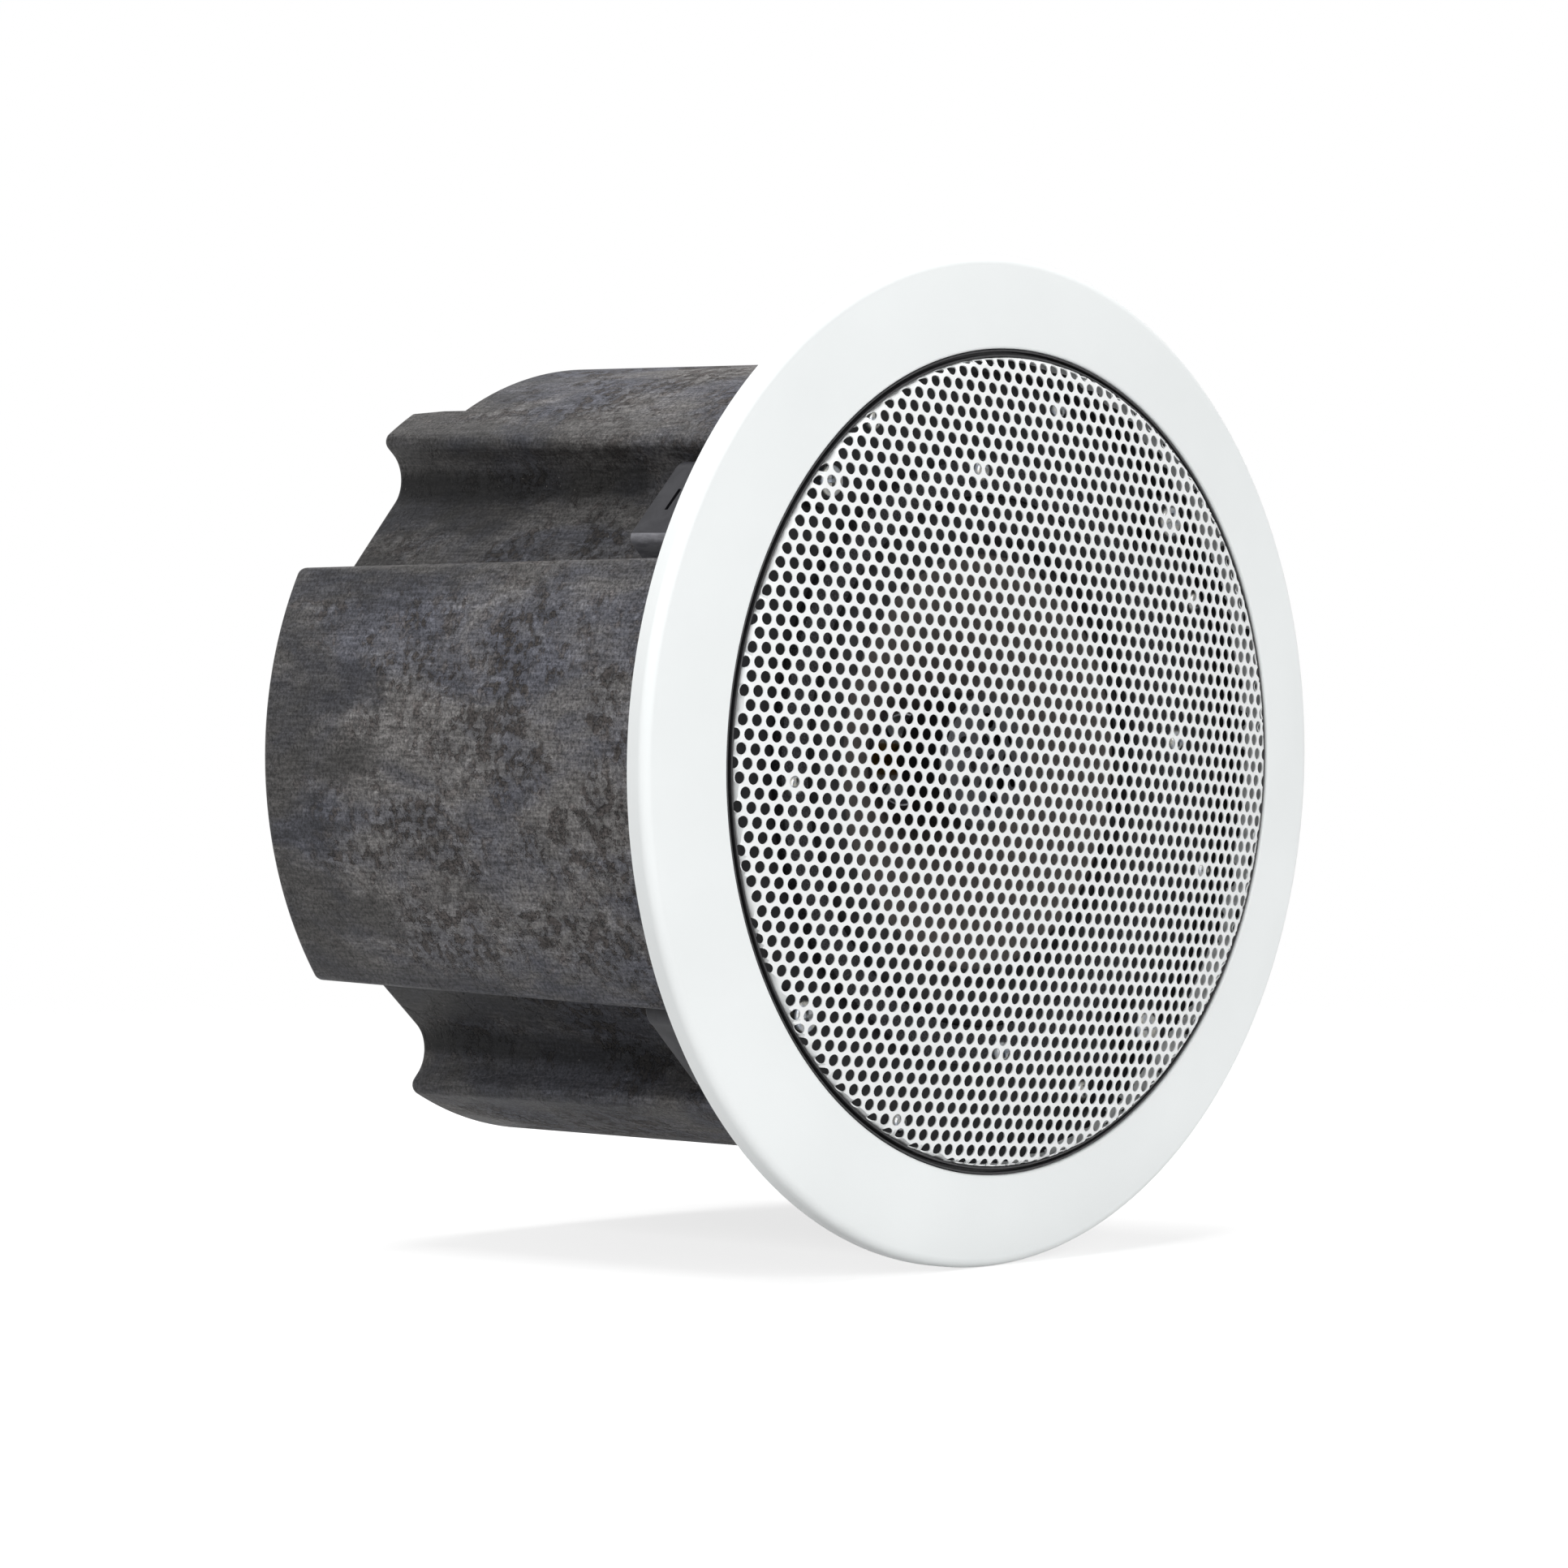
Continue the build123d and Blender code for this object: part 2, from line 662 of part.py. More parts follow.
# Surround: a rubber half roll, its rim glued on the basket and its lip on the cone.
surround_back = -basket_t
surround_front = surround_back - surround_t
with BuildPart() as surround:
    with BuildSketch(Plane.XY):
        with BuildLine():
            roll_out = roll_mid + roll_r
            roll_in = roll_mid - roll_r
            lip_r = cone_r - surround_lip
            rim = Line((roll_out + surround_rim, surround_back), (roll_out + surround_rim, surround_front))
            rim_top = Line(rim @ 1, (roll_out, surround_front))
            roll = ThreePointArc(rim_top @ 1, (roll_mid, surround_front - roll_r), (roll_in, surround_front))
            lip_top = Line(roll @ 1, (lip_r, surround_front))
            lip_end = Line(lip_top @ 1, (lip_r, surround_back))
            lip_low = Line(lip_end @ 1, (roll_in + surround_t, surround_back))
            inner_roll = ThreePointArc(
                lip_low @ 1,
                (roll_mid, surround_back - roll_r + surround_t),
                (roll_out - surround_t, surround_back),
            )
            Line(inner_roll @ 1, rim @ 0)
        make_face()
    revolve(axis=Axis.Y)
surround.part.label = "surround"
export_step(surround.part, "parts/surround.step")

# Driver gasket: a fibre ring that presses the surround's rim on the basket.
with BuildPart() as driver_gasket:
    rebate_r = roll_mid + roll_r + surround_rim + fit
    gasket_front = -basket_t - driver_gasket_t
    with BuildSketch(Plane.XY):
        with BuildLine():
            Polyline(
                (roll_mid + roll_r + fit, gasket_front),
                (basket_r, gasket_front),
                (basket_r, -basket_t),
                (rebate_r, -basket_t),
                (rebate_r, surround_front),
                (roll_mid + roll_r + fit, surround_front),
                close=True,
            )
        make_face()
    revolve(axis=Axis.Y)
    with BuildSketch(Plane.XZ):
        with PolarLocations(driver_screw_r, driver_screw_count):
            Circle(driver_screw_d / 2 + screw_slack)
    extrude(amount=basket_t + driver_gasket_t, mode=Mode.SUBTRACT)
driver_gasket.part.label = "driver_gasket"
export_step(driver_gasket.part, "parts/driver_gasket.step")

# Driver screws: they hold gasket and basket on the baffle.
with BuildPart() as driver_screws:
    with BuildSketch(across(gasket_front)):
        with PolarLocations(driver_screw_r, driver_screw_count):
            Circle(driver_head_d / 2)
    extrude(amount=driver_screw_d * screw_head)
    with BuildSketch(across(gasket_front)):
        with PolarLocations(driver_screw_r, driver_screw_count):
            Circle(driver_screw_d / 2)
    extrude(amount=-(plate_t - gasket_front))
driver_screws.part.label = "driver_screws"
export_step(driver_screws.part, "parts/driver_screws.step")

# Cone: a flared paper cone with a flat edge under the surround and a neck on the former.
former_r = coil_r + former_t
cone_front = surround_back + glue
with BuildPart() as cone:
    with BuildSketch(Plane.XY):
        with BuildLine():
            flat = Line((cone_r, cone_front), (cone_r, cone_front + cone_t))
            step = Line(flat @ 1, (cone_r - 2 * cone_t, cone_front + cone_t))
            half_r = (cone_r + former_r) / 2
            half_y = (cone_front + cone_depth) / 2
            outside_mid = (half_r - cone_flare, half_y + cone_t - cone_flare)
            outside = ThreePointArc(step @ 1, outside_mid, (former_r, cone_depth + cone_t))
            neck = Line(outside @ 1, (former_r, cone_depth - cone_t))
            inside_mid = (half_r - 2 * cone_t - cone_flare, half_y - cone_t - cone_flare)
            inside = ThreePointArc(neck @ 1, inside_mid, (cone_r - 4 * cone_t, cone_front))
            Line(inside @ 1, flat @ 0)
        make_face()
    revolve(axis=Axis.Y)
cone.part.label = "cone"
export_step(cone.part, "parts/cone.step")

# Voice coil: a thin former with the winding on its rear end, free in the magnet's gap.
coil_back = basket_depth + top_plate_t / 2 + coil_h / 2
with BuildPart() as voice_coil_former:
    with BuildSketch(across(former_front)):
        Circle(former_r)
        Circle(coil_r, mode=Mode.SUBTRACT)
    extrude(amount=-(coil_back - former_front))
voice_coil_former.part.label = "voice_coil_former"
export_step(voice_coil_former.part, "parts/voice_coil_former.step")

with BuildPart() as voice_coil:
    with BuildSketch(across(coil_back)):
        Circle(former_r + coil_t)
        Circle(former_r, mode=Mode.SUBTRACT)
    extrude(amount=coil_h)
voice_coil.part.label = "voice_coil"
export_step(voice_coil.part, "parts/voice_coil.step")

# Spider: a corrugated cloth disc from the basket's seat to the former.
with BuildPart() as spider:
    seat = spider_depth - spider_t
    wave_from = spider_seat_r - spider_seat_w
    wave = (wave_from - former_r - glue - 2 * spider_t) / (2 * spider_waves)
    crests = [
        (wave_from - wave * (i + 0.5), seat - spider_t * (-1) ** i)
        for i in range(2 * spider_waves)
    ]
    rim_r = spider_seat_r - fit
    front_line = [(rim_r, seat), (wave_from, seat), *crests, (former_r + glue, seat)]
    back_line = [(r, y + spider_t) for r, y in reversed(front_line)]
    with BuildSketch(Plane.XY):
        with BuildLine():
            Polyline(*front_line, *back_line, close=True)
        make_face()
    revolve(axis=Axis.Y)
spider.part.label = "spider"
export_step(spider.part, "parts/spider.step")

# Magnet system: top plate, ferrite ring, and a yoke with the pole that the coil moves over.
with BuildPart() as top_plate:
    with BuildSketch(across(basket_depth)):
        Circle(magnet_r)
        Circle(former_r + coil_t + coil_gap, mode=Mode.SUBTRACT)
    extrude(amount=-top_plate_t)
top_plate.part.label = "top_plate"
export_step(top_plate.part, "parts/top_plate.step")

magnet_front = basket_depth + top_plate_t
with BuildPart() as magnet:
    with BuildSketch(across(magnet_front)):
        Circle(magnet_r)
        Circle(magnet_hole_r, mode=Mode.SUBTRACT)
    extrude(amount=-magnet_t)
magnet.part.label = "magnet"
export_step(magnet.part, "parts/magnet.step")

yoke_back = magnet_front + magnet_t + yoke_t
with BuildPart() as pole_yoke:
    with BuildSketch(across(yoke_back)):
        Circle(yoke_r)
    extrude(amount=yoke_t)
    chamfer(pole_yoke.edges().group_by(Axis.Y)[-1], yoke_t / 4)
    with BuildSketch(across(yoke_back - yoke_t)):
        Circle(coil_r - pole_gap)
    extrude(amount=magnet_t + top_plate_t)
    with BuildSketch(across(yoke_back)):
        Circle(post_r + fit / 2)
    extrude(amount=yoke_t + magnet_t + top_plate_t, mode=Mode.SUBTRACT)
pole_yoke.part.label = "pole_yoke"
export_step(pole_yoke.part, "parts/pole_yoke.step")

# Driver terminals: a strip on the basket's side with two push-on tabs.
with BuildPart() as driver_terminals:
    strip_y = spider_depth - 2 * basket_t + strip_h / 2
    with BuildSketch(Plane.XY.offset(-(wall_back + strip_t))):
        with Locations((0, strip_y)):
            Rectangle(strip_w, strip_h)
    extrude(amount=2 * strip_t)
    with BuildSketch(across(0)):
        Circle(wall_back)
    extrude(amount=-basket_depth, mode=Mode.SUBTRACT)
    with BuildSketch(Plane.XY.offset(-(wall_back + strip_t))):
        with Locations((0, strip_y)):
            with GridLocations(strip_w / 2, 1, 2, 1):
                Rectangle(tab_w, tab_t)
    extrude(amount=-tab_l)
driver_terminals.part.label = "driver_terminals"
export_step(driver_terminals.part, "parts/driver_terminals.step")

# Tweeter: a turned body on a post through the pole, with a soft dome behind a perforated screen.
with BuildPart() as tweeter_body:
    with BuildSketch(Plane.XY) as body_section:
        with BuildLine():
            Polyline(
                (0, tweeter_floor),
                (tweeter_r - tweeter_rim, tweeter_floor),
                (tweeter_r - tweeter_rim, tweeter_front),
                (tweeter_r, tweeter_front),
                (tweeter_r, tweeter_back),
                (0, tweeter_back),
                close=True,
            )
        make_face()
        fillet(body_section.vertices().sort_by_distance((tweeter_r, tweeter_back))[0], tweeter_rim)
    revolve(axis=Axis.Y)
    with BuildSketch(across(tweeter_back)):
        Circle(post_r + fit / 2)
    extrude(amount=post_sunk, mode=Mode.SUBTRACT)
tweeter_body.part.label = "tweeter_body"
export_step(tweeter_body.part, "parts/tweeter_body.step")

with BuildPart() as tweeter_dome:
    dome_cap = (dome_r ** 2 + dome_h ** 2) / (2 * dome_h)
    dome_mid = dome_r / 2
    dome_crown = tweeter_floor - dome_h
    dome_inner = dome_crown + dome_t + cap_depth(dome_cap - dome_t, dome_mid)
    dome_foot = sqrt((dome_cap - dome_t) ** 2 - (dome_cap - dome_h) ** 2)
    with BuildSketch(Plane.XY):
        with BuildLine():
            skin = ThreePointArc(
                (0, dome_crown),
                (dome_mid, dome_crown + cap_depth(dome_cap, dome_mid)),
                (dome_r, tweeter_floor),
            )
            foot = Line(skin @ 1, (dome_foot, tweeter_floor))
            back = ThreePointArc(foot @ 1, (dome_mid, dome_inner), (0, dome_crown + dome_t))
            Line(back @ 1, skin @ 0)
        make_face()
    revolve(axis=Axis.Y)
tweeter_dome.part.label = "tweeter_dome"
export_step(tweeter_dome.part, "parts/tweeter_dome.step")

with BuildPart() as tweeter_screen:
    screen_r = tweeter_r - tweeter_rim / 2
    screen_cap = (screen_r ** 2 + screen_rise ** 2) / (2 * screen_rise)
    screen_mid = screen_r / 2
    screen_crown = tweeter_front - screen_t - screen_rise
    screen_under = screen_crown + screen_t
    screen_foot = screen_r - tweeter_rim / 3
    with BuildSketch(Plane.XY):
        with BuildLine():
            skin = ThreePointArc(
                (0, screen_crown),
                (screen_mid, screen_crown + cap_depth(screen_cap, screen_mid)),
                (screen_r, tweeter_front - screen_t),
            )
            side = Line(skin @ 1, (screen_r, tweeter_front))
            foot = Line(side @ 1, (screen_foot, tweeter_front))
            inner_cap = screen_cap - screen_t
            step = Line(foot @ 1, (screen_foot, screen_under + cap_depth(inner_cap, screen_foot)))
            back = ThreePointArc(
                step @ 1,
                (screen_mid, screen_under + cap_depth(inner_cap, screen_mid)),
                (0, screen_under),
            )
            Line(back @ 1, skin @ 0)
        make_face()
    revolve(axis=Axis.Y)
    with BuildSketch(across(screen_crown - screen_t)):
        with Locations(*hex_points(screen_pitch, screen_r - screen_hole_d)):
            RegularPolygon(screen_hole_d / 2, hole_sides)
    extrude(amount=-(screen_rise + 4 * screen_t), mode=Mode.SUBTRACT)
tweeter_screen.part.label = "tweeter_screen"
export_step(tweeter_screen.part, "parts/tweeter_screen.step")

with BuildPart() as tweeter_post:
    with BuildSketch(across(tweeter_back - post_sunk)):
        Circle(post_r)
    extrude(amount=-(yoke_back + post_nut_t + post_end - tweeter_back + post_sunk))
    chamfer(tweeter_post.edges().group_by(Axis.Y)[-1], post_end / 4)
tweeter_post.part.label = "tweeter_post"
export_step(tweeter_post.part, "parts/tweeter_post.step")

with BuildPart() as tweeter_nut:
    with BuildSketch(across(yoke_back)):
        RegularPolygon(post_nut_r, 6)
        Circle(post_r + pilot_slack, mode=Mode.SUBTRACT)
    extrude(amount=-post_nut_t)
tweeter_nut.part.label = "tweeter_nut"
export_step(tweeter_nut.part, "parts/tweeter_nut.step")

# Crossover: a board on four posts of the can's rear wall, with two capacitors and an air coil.
board_back = can_back - can_wall - board_stand
board_front = board_back - board_t
with BuildPart() as crossover_board:
    with BuildSketch(across(board_back)):
        with Locations((0, board_mid)):
            RectangleRounded(board_w, board_h, board_inset / 2)
    extrude(amount=board_t)
crossover_board.part.label = "crossover_board"
export_step(crossover_board.part, "parts/crossover_board.step")

with BuildPart() as crossover_capacitors:
    with BuildSketch(Plane.YZ.offset(-board_w / 2 + board_inset)):
        for row in (0, 1):
            with Locations((board_front - capacitor_r, board_mid + capacitor_step * (row - 0.5))):
                Circle(capacitor_r)
    extrude(amount=capacitor_l)
crossover_capacitors.part.label = "crossover_capacitors"
export_step(crossover_capacitors.part, "parts/crossover_capacitors.step")

with BuildPart() as crossover_coil:
    with BuildSketch(across(board_front)):
        with Locations((board_w / 2 - board_inset - inductor_r, board_mid)):
            Circle(inductor_r)
            Circle(inductor_hole_r, mode=Mode.SUBTRACT)
    extrude(amount=inductor_h)
crossover_coil.part.label = "crossover_coil"
export_step(crossover_coil.part, "parts/crossover_coil.step")

# Damping pad: a fibre sheet that lines the can's wall.
with BuildPart() as damping_pad:
    add(lobe_form(can_wall + fit, pad_front, pad_back))
    add(lobe_form(can_wall + pad_t, pad_front, pad_back), mode=Mode.SUBTRACT)
damping_pad.part.label = "damping_pad"
export_step(damping_pad.part, "parts/damping_pad.step")

# Terminals: a plate on the pocket's front wall that carries a four-way screw terminal.
terminal_z = pocket_floor + terminal_plate_h / 2 + fit
with BuildPart() as terminal_plate:
    with BuildSketch(across(pocket_front)):
        with Locations((0, terminal_z)):
            RectangleRounded(terminal_plate_w, terminal_plate_h, terminal_screw_d)
            with GridLocations(terminal_screw_span, 1, 2, 1):
                Circle(terminal_screw_d / 2 + screw_slack, mode=Mode.SUBTRACT)
    extrude(amount=-terminal_plate_t)
terminal_plate.part.label = "terminal_plate"
export_step(terminal_plate.part, "parts/terminal_plate.step")

terminal_front = pocket_front + terminal_plate_t
terminal_step = terminal_w / terminal_ways
with BuildPart() as terminal_block:
    with BuildSketch(across(terminal_front)):
        with Locations((0, terminal_z)):
            Rectangle(terminal_w, terminal_h)
    extrude(amount=-terminal_deep)
    with BuildSketch(across(terminal_front + terminal_deep)):
        with Locations((0, terminal_z - wire_entry_low)):
            with GridLocations(terminal_step, 1, terminal_ways, 1):
                Rectangle(wire_entry_w, wire_entry_h)
    extrude(amount=wire_entry_deep, mode=Mode.SUBTRACT)
    with BuildSketch(Plane.XY.offset(terminal_z + terminal_h / 2)):
        with Locations((0, terminal_front + terminal_deep / 2)):
            with GridLocations(terminal_step, 1, terminal_ways, 1):
                Circle(terminal_hole_d / 2)
    extrude(amount=-terminal_hole_deep, mode=Mode.SUBTRACT)
terminal_block.part.label = "terminal_block"
export_step(terminal_block.part, "parts/terminal_block.step")

with BuildPart() as terminal_screws:
    with BuildSketch(across(terminal_front)):
        with Locations((0, terminal_z)):
            with GridLocations(terminal_screw_span, 1, 2, 1):
                Circle(terminal_screw_d)
    extrude(amount=-terminal_screw_d * screw_head)
    with BuildSketch(across(terminal_front)):
        with Locations((0, terminal_z)):
            with GridLocations(terminal_screw_span, 1, 2, 1):
                Circle(terminal_screw_d / 2)
    extrude(amount=terminal_plate_t + can_wall)
terminal_screws.part.label = "terminal_screws"
export_step(terminal_screws.part, "parts/terminal_screws.step")
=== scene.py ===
from math import asin, atan2, cos, hypot, pi, radians, sin, sqrt, tan

import bmesh
import bpy
from mathutils import Matrix, Vector


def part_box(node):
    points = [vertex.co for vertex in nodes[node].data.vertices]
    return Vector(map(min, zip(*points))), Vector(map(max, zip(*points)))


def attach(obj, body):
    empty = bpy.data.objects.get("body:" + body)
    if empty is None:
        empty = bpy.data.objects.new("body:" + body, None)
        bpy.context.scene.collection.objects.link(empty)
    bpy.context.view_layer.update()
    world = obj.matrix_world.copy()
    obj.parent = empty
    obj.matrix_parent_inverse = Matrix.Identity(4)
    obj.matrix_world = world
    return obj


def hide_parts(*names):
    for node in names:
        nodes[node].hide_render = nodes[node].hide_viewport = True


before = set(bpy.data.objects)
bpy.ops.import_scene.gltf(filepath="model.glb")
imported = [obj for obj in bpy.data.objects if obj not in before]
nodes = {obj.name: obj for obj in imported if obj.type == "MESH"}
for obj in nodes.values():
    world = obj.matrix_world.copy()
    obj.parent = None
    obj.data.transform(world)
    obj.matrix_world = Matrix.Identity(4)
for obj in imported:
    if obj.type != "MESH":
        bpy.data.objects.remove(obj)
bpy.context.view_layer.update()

# Back can: the deep housing that goes up into the ceiling, a grey-black structural foam moulding.
# Four lobes and four flutes run along it, the rear is closed, and the upper lobe is stepped for the
# terminals. The foaming leaves a mottled skin with streaks along the mould, pits and raised islands.
can_front = 5.5
can_rear = 170.4
can_edge = 2.5
can_wall = 4.0
lobe_r = 111.3
mouth_round = 3.0
flute_half = 23.3
flute_draft = 1.3
flute_floor = 93.1
flute_fillet = 9.5
pocket_front = 148.4
pocket_floor = 79.0
pocket_half = 44.0
pocket_spread_front = 3.9
pocket_spread_rear = 6.8
overcut = 2.0
gusset_top = 98.5
gusset_sunk = 1.0
gusset_corner = 94.47
gusset_feet = ((5.5, 8.5), (54.0, 8.5), (70.0, 2.5))
mouth_steps = 12
fillet_steps = 24
lobe_steps = 120
edge_steps = 8


def piece(name, points, faces, sharp=32.0):
    """A mesh from points in millimetres, smooth up to the sharp angle."""
    mesh = bpy.data.meshes.new(name)
    mesh.from_pydata([(x / 1000, y / 1000, z / 1000) for x, y, z in points], [], faces)
    shape = bmesh.new()
    shape.from_mesh(mesh)
    bmesh.ops.remove_doubles(shape, verts=shape.verts, dist=1e-7)
    bmesh.ops.recalc_face_normals(shape, faces=shape.faces)
    shape.to_mesh(mesh)
    shape.free()
    mesh.shade_smooth()
    mesh.set_sharp_from_angle(angle=radians(sharp))
    made = bpy.data.objects.new(name, mesh)
    bpy.context.scene.collection.objects.link(made)
    return made


def loft(name, rings, sharp=32.0):
    """A closed skin through rings of points, with a flat end at the first and the last."""
    n = len(rings[0])
    points = [p for ring in rings for p in ring]
    faces = [tuple(range(n)), tuple(range(len(points) - n, len(points)))]
    for j in range(len(rings) - 1):
        for i in range(n):
            k = (i + 1) % n
            faces.append((j * n + i, j * n + k, j * n + n + k, j * n + n + i))
    return piece(name, points, faces, sharp)


def block(name, low, high):
    """A plain rectangular block, used to cut with or to join."""
    outline = ((low[0], low[2]), (high[0], low[2]), (high[0], high[2]), (low[0], high[2]))
    return loft(name, [[(x, y, z) for x, z in outline] for y in (low[1], high[1])])


def settle(made, sharp=32.0):
    """Turns the modifiers of a piece into its own mesh."""
    depsgraph = bpy.context.evaluated_depsgraph_get()
    mesh = bpy.data.meshes.new_from_object(made.evaluated_get(depsgraph))
    made.modifiers.clear()
    made.data = mesh
    mesh.shade_smooth()
    mesh.set_sharp_from_angle(angle=radians(sharp))


def join(made, tool, how, sharp=32.0):
    """Cuts the tool out of a piece, or joins it on, and takes the tool away."""
    step = made.modifiers.new("join", "BOOLEAN")
    step.operation = how
    step.solver = "EXACT"
    step.object = tool
    settle(made, sharp)
    bpy.data.objects.remove(tool)


def flute_turn(k):
    """Angle of the middle of flute k, from X towards Z."""
    return radians(45 + 90 * k)


def swung(turn, out, aside, y):
    """A point at depth y, out from the axis and aside, on a piece that stands at this turn."""
    return (out * cos(turn) - aside * sin(turn), y, out * sin(turn) + aside * cos(turn))


def flute_side(y):
    """Half the width of a flute at depth y; the walls close in towards the front."""
    return flute_half - tan(radians(flute_draft)) * (can_rear - y)


def can_line(y, inset):
    """Points round the can's section at depth y, moved in by inset."""
    r = lobe_r - inset
    half = flute_side(y) + inset
    fillet = flute_fillet + inset
    low = flute_floor - inset + fillet
    mouth = max(mouth_round - inset, 0.0)
    mouth_d = sqrt((r - mouth) ** 2 - (half + mouth) ** 2)
    lobe_end = atan2(half + mouth, mouth_d)
    side = []
    for i in range(mouth_steps + 1):
        a = lobe_end - (lobe_end + pi / 2) * i / mouth_steps
        side.append((mouth_d + mouth * cos(a), half + mouth + mouth * sin(a)))
    for i in range(fillet_steps + 1):
        a = pi / 2 + pi / 2 * i / fillet_steps
        side.append((low + fillet * cos(a), half - fillet + fillet * sin(a)))
    line = []
    for k in range(4):
        turn = flute_turn(k)
        across = [(d, -s) for d, s in side] + side[::-1]
        for d, s in across:
            line.append(swung(turn, d, s, y))
        lobe = pi / 2 - 2 * lobe_end
        for i in range(1, lobe_steps):
            a = turn + lobe_end + lobe * i / lobe_steps
            line.append((r * cos(a), y, r * sin(a)))
    return line


can_rings = [can_line(can_front, 0.0), can_line(can_rear - can_edge, 0.0)]
for i in range(1, edge_steps + 1):
    turn = pi / 2 * i / edge_steps
    edge_y = can_rear - can_edge + can_edge * sin(turn)
    can_rings.append(can_line(edge_y, can_edge - can_edge * cos(turn)))
back_can = loft("back_can_skin", can_rings)
air = loft("air", [can_line(can_front - 1, can_wall), can_line(can_rear - can_wall, can_wall)])
kept = block("kept", (-pocket_half - can_wall, pocket_front - can_wall, pocket_floor - can_wall),
             (pocket_half + can_wall, can_rear, lobe_r + overcut))
join(air, kept, "DIFFERENCE")
join(back_can, air, "DIFFERENCE")
pocket_rings = []
for y, spread in ((pocket_front, pocket_spread_front), (can_rear + overcut, pocket_spread_rear)):
    low, high = pocket_half, pocket_half + spread
    top = lobe_r + overcut
    line = ((-low, pocket_floor), (low, pocket_floor), (high, top), (-high, top))
    pocket_rings.append([(x, y, z) for x, z in line])
join(back_can, loft("pocket", pocket_rings), "DIFFERENCE")
for k in range(4):
    turn = flute_turn(k)
    rings = []
    for y, foot in gusset_feet:
        side = flute_side(y)
        line = [
            (gusset_top, -side - gusset_sunk),
            (gusset_top, -side),
            (flute_floor, foot - side),
            (flute_floor - gusset_sunk, foot - side),
            (gusset_corner, gusset_corner - flute_floor - side),
        ]
        rings.append([swung(turn, d, s, y) for d, s in line])
    join(back_can, loft("gusset", rings), "UNION")


def tone(red, green, blue):
    """Colour for a shader from screen values of 0 to 255."""
    linear = []
    for value in (red, green, blue):
        share = value / 255
        linear.append(share / 12.92 if share <= 0.04045 else ((share + 0.055) / 1.055) ** 2.4)
    return (*linear, 1.0)


def finish(name, colour, rough, metal=0.0, gleam=0.5):
    """A new material with its plain colour, roughness, metal and gleam set on the shader."""
    made = bpy.data.materials.new(name)
    made.use_nodes = True
    shader = made.node_tree.nodes["Principled BSDF"]
    shader.inputs["Base Color"].default_value = colour
    shader.inputs["Roughness"].default_value = rough
    shader.inputs["Metallic"].default_value = metal
    shader.inputs["Specular IOR Level"].default_value = gleam
    return made


def add(made, kind, sockets, **settings):
    """A node in a material, with its sockets set or wired."""
    tree = made.node_tree
    new = tree.nodes.new(kind)
    for key, value in settings.items():
        setattr(new, key, value)
    for key, value in sockets.items():
        if isinstance(value, bpy.types.NodeSocket):
            tree.links.new(value, new.inputs[key])
        else:
            new.inputs[key].default_value = value
    return new


def place(made, stretch=(1.0, 1.0, 1.0)):
    """The place on a piece in millimetres, scaled along X, Y and Z."""
    spot = add(made, "ShaderNodeTexCoord", {})
    scale = tuple(1000 * s for s in stretch)
    return add(made, "ShaderNodeMapping", {0: spot.outputs["Object"], "Scale": scale}).outputs[0]


def cloud(made, where, size, detail=3.0, rough=0.55, bend=0.0):
    """Soft noise whose lumps are about size millimetres."""
    sockets = {"Vector": where, "Scale": 1.0 / size}
    sockets.update({"Detail": detail, "Roughness": rough, "Distortion": bend})
    return add(made, "ShaderNodeTexNoise", sockets).outputs[0]


def rise(made, value, low, high, start=0.0, end=1.0):
    """A smooth change from start to end as the value goes from low to high."""
    sockets = {"Value": value, "From Min": low, "From Max": high, "To Min": start, "To Max": end}
    return add(made, "ShaderNodeMapRange", sockets, interpolation_type="SMOOTHSTEP").outputs[0]


def reckon(made, how, first, second=0.0):
    """A number worked out from one or two others."""
    return add(made, "ShaderNodeMath", {0: first, 1: second}, operation=how).outputs[0]


def both(made, first, second):
    """One number times another, as where two places overlap."""
    return reckon(made, "MULTIPLY", first, second)


def layer(made, share, under, over, how="MIX"):
    """One colour laid over another."""
    sockets = {0: share, 6: under, 7: over}
    return add(made, "ShaderNodeMix", sockets, data_type="RGBA", blend_type=how).outputs[2]


def bump(made, height, depth, before=None):
    """A surface relief of about depth millimetres."""
    sockets = {"Height": height, "Distance": depth / 1000, "Strength": 1.0}
    if before is not None:
        sockets["Normal"] = before
    return add(made, "ShaderNodeBump", sockets).outputs[0]


def wire(made, socket, value):
    """Leads a node's result to a socket of the shader."""
    shader = made.node_tree.nodes["Principled BSDF"]
    made.node_tree.links.new(value, shader.inputs[socket])


foam_skin = finish("structural_foam", tone(92, 92, 95), 0.62, gleam=0.14)
spot = place(foam_skin)
drawn = place(foam_skin, (1.0, 0.5, 1.0))
plumed = place(foam_skin, (1.0, 0.3, 1.0))
streaked = place(foam_skin, (1.0, 0.09, 1.0))

# Places on the can: its flutes, the stops and walls in them, the ridges beside them, the calmer rear.
parts = add(foam_skin, "ShaderNodeSeparateXYZ", {0: spot}).outputs
span_x = reckon(foam_skin, "ABSOLUTE", parts[0])
span_z = reckon(foam_skin, "ABSOLUTE", parts[2])
aside = reckon(foam_skin, "SUBTRACT", span_x, span_z)
off_flute = reckon(foam_skin, "ABSOLUTE", aside)
square_x = reckon(foam_skin, "POWER", span_x, 2.0)
square_z = reckon(foam_skin, "POWER", span_z, 2.0)
from_axis = reckon(foam_skin, "SQRT", reckon(foam_skin, "ADD", square_x, square_z))
outside = rise(foam_skin, from_axis, 89.0, 92.5)
# The flutes are marked to be darkened, partly as a darker skin and partly as painted shade.
in_flute = both(foam_skin, rise(foam_skin, off_flute, 27.0, 33.0, 1.0, 0.0), outside)
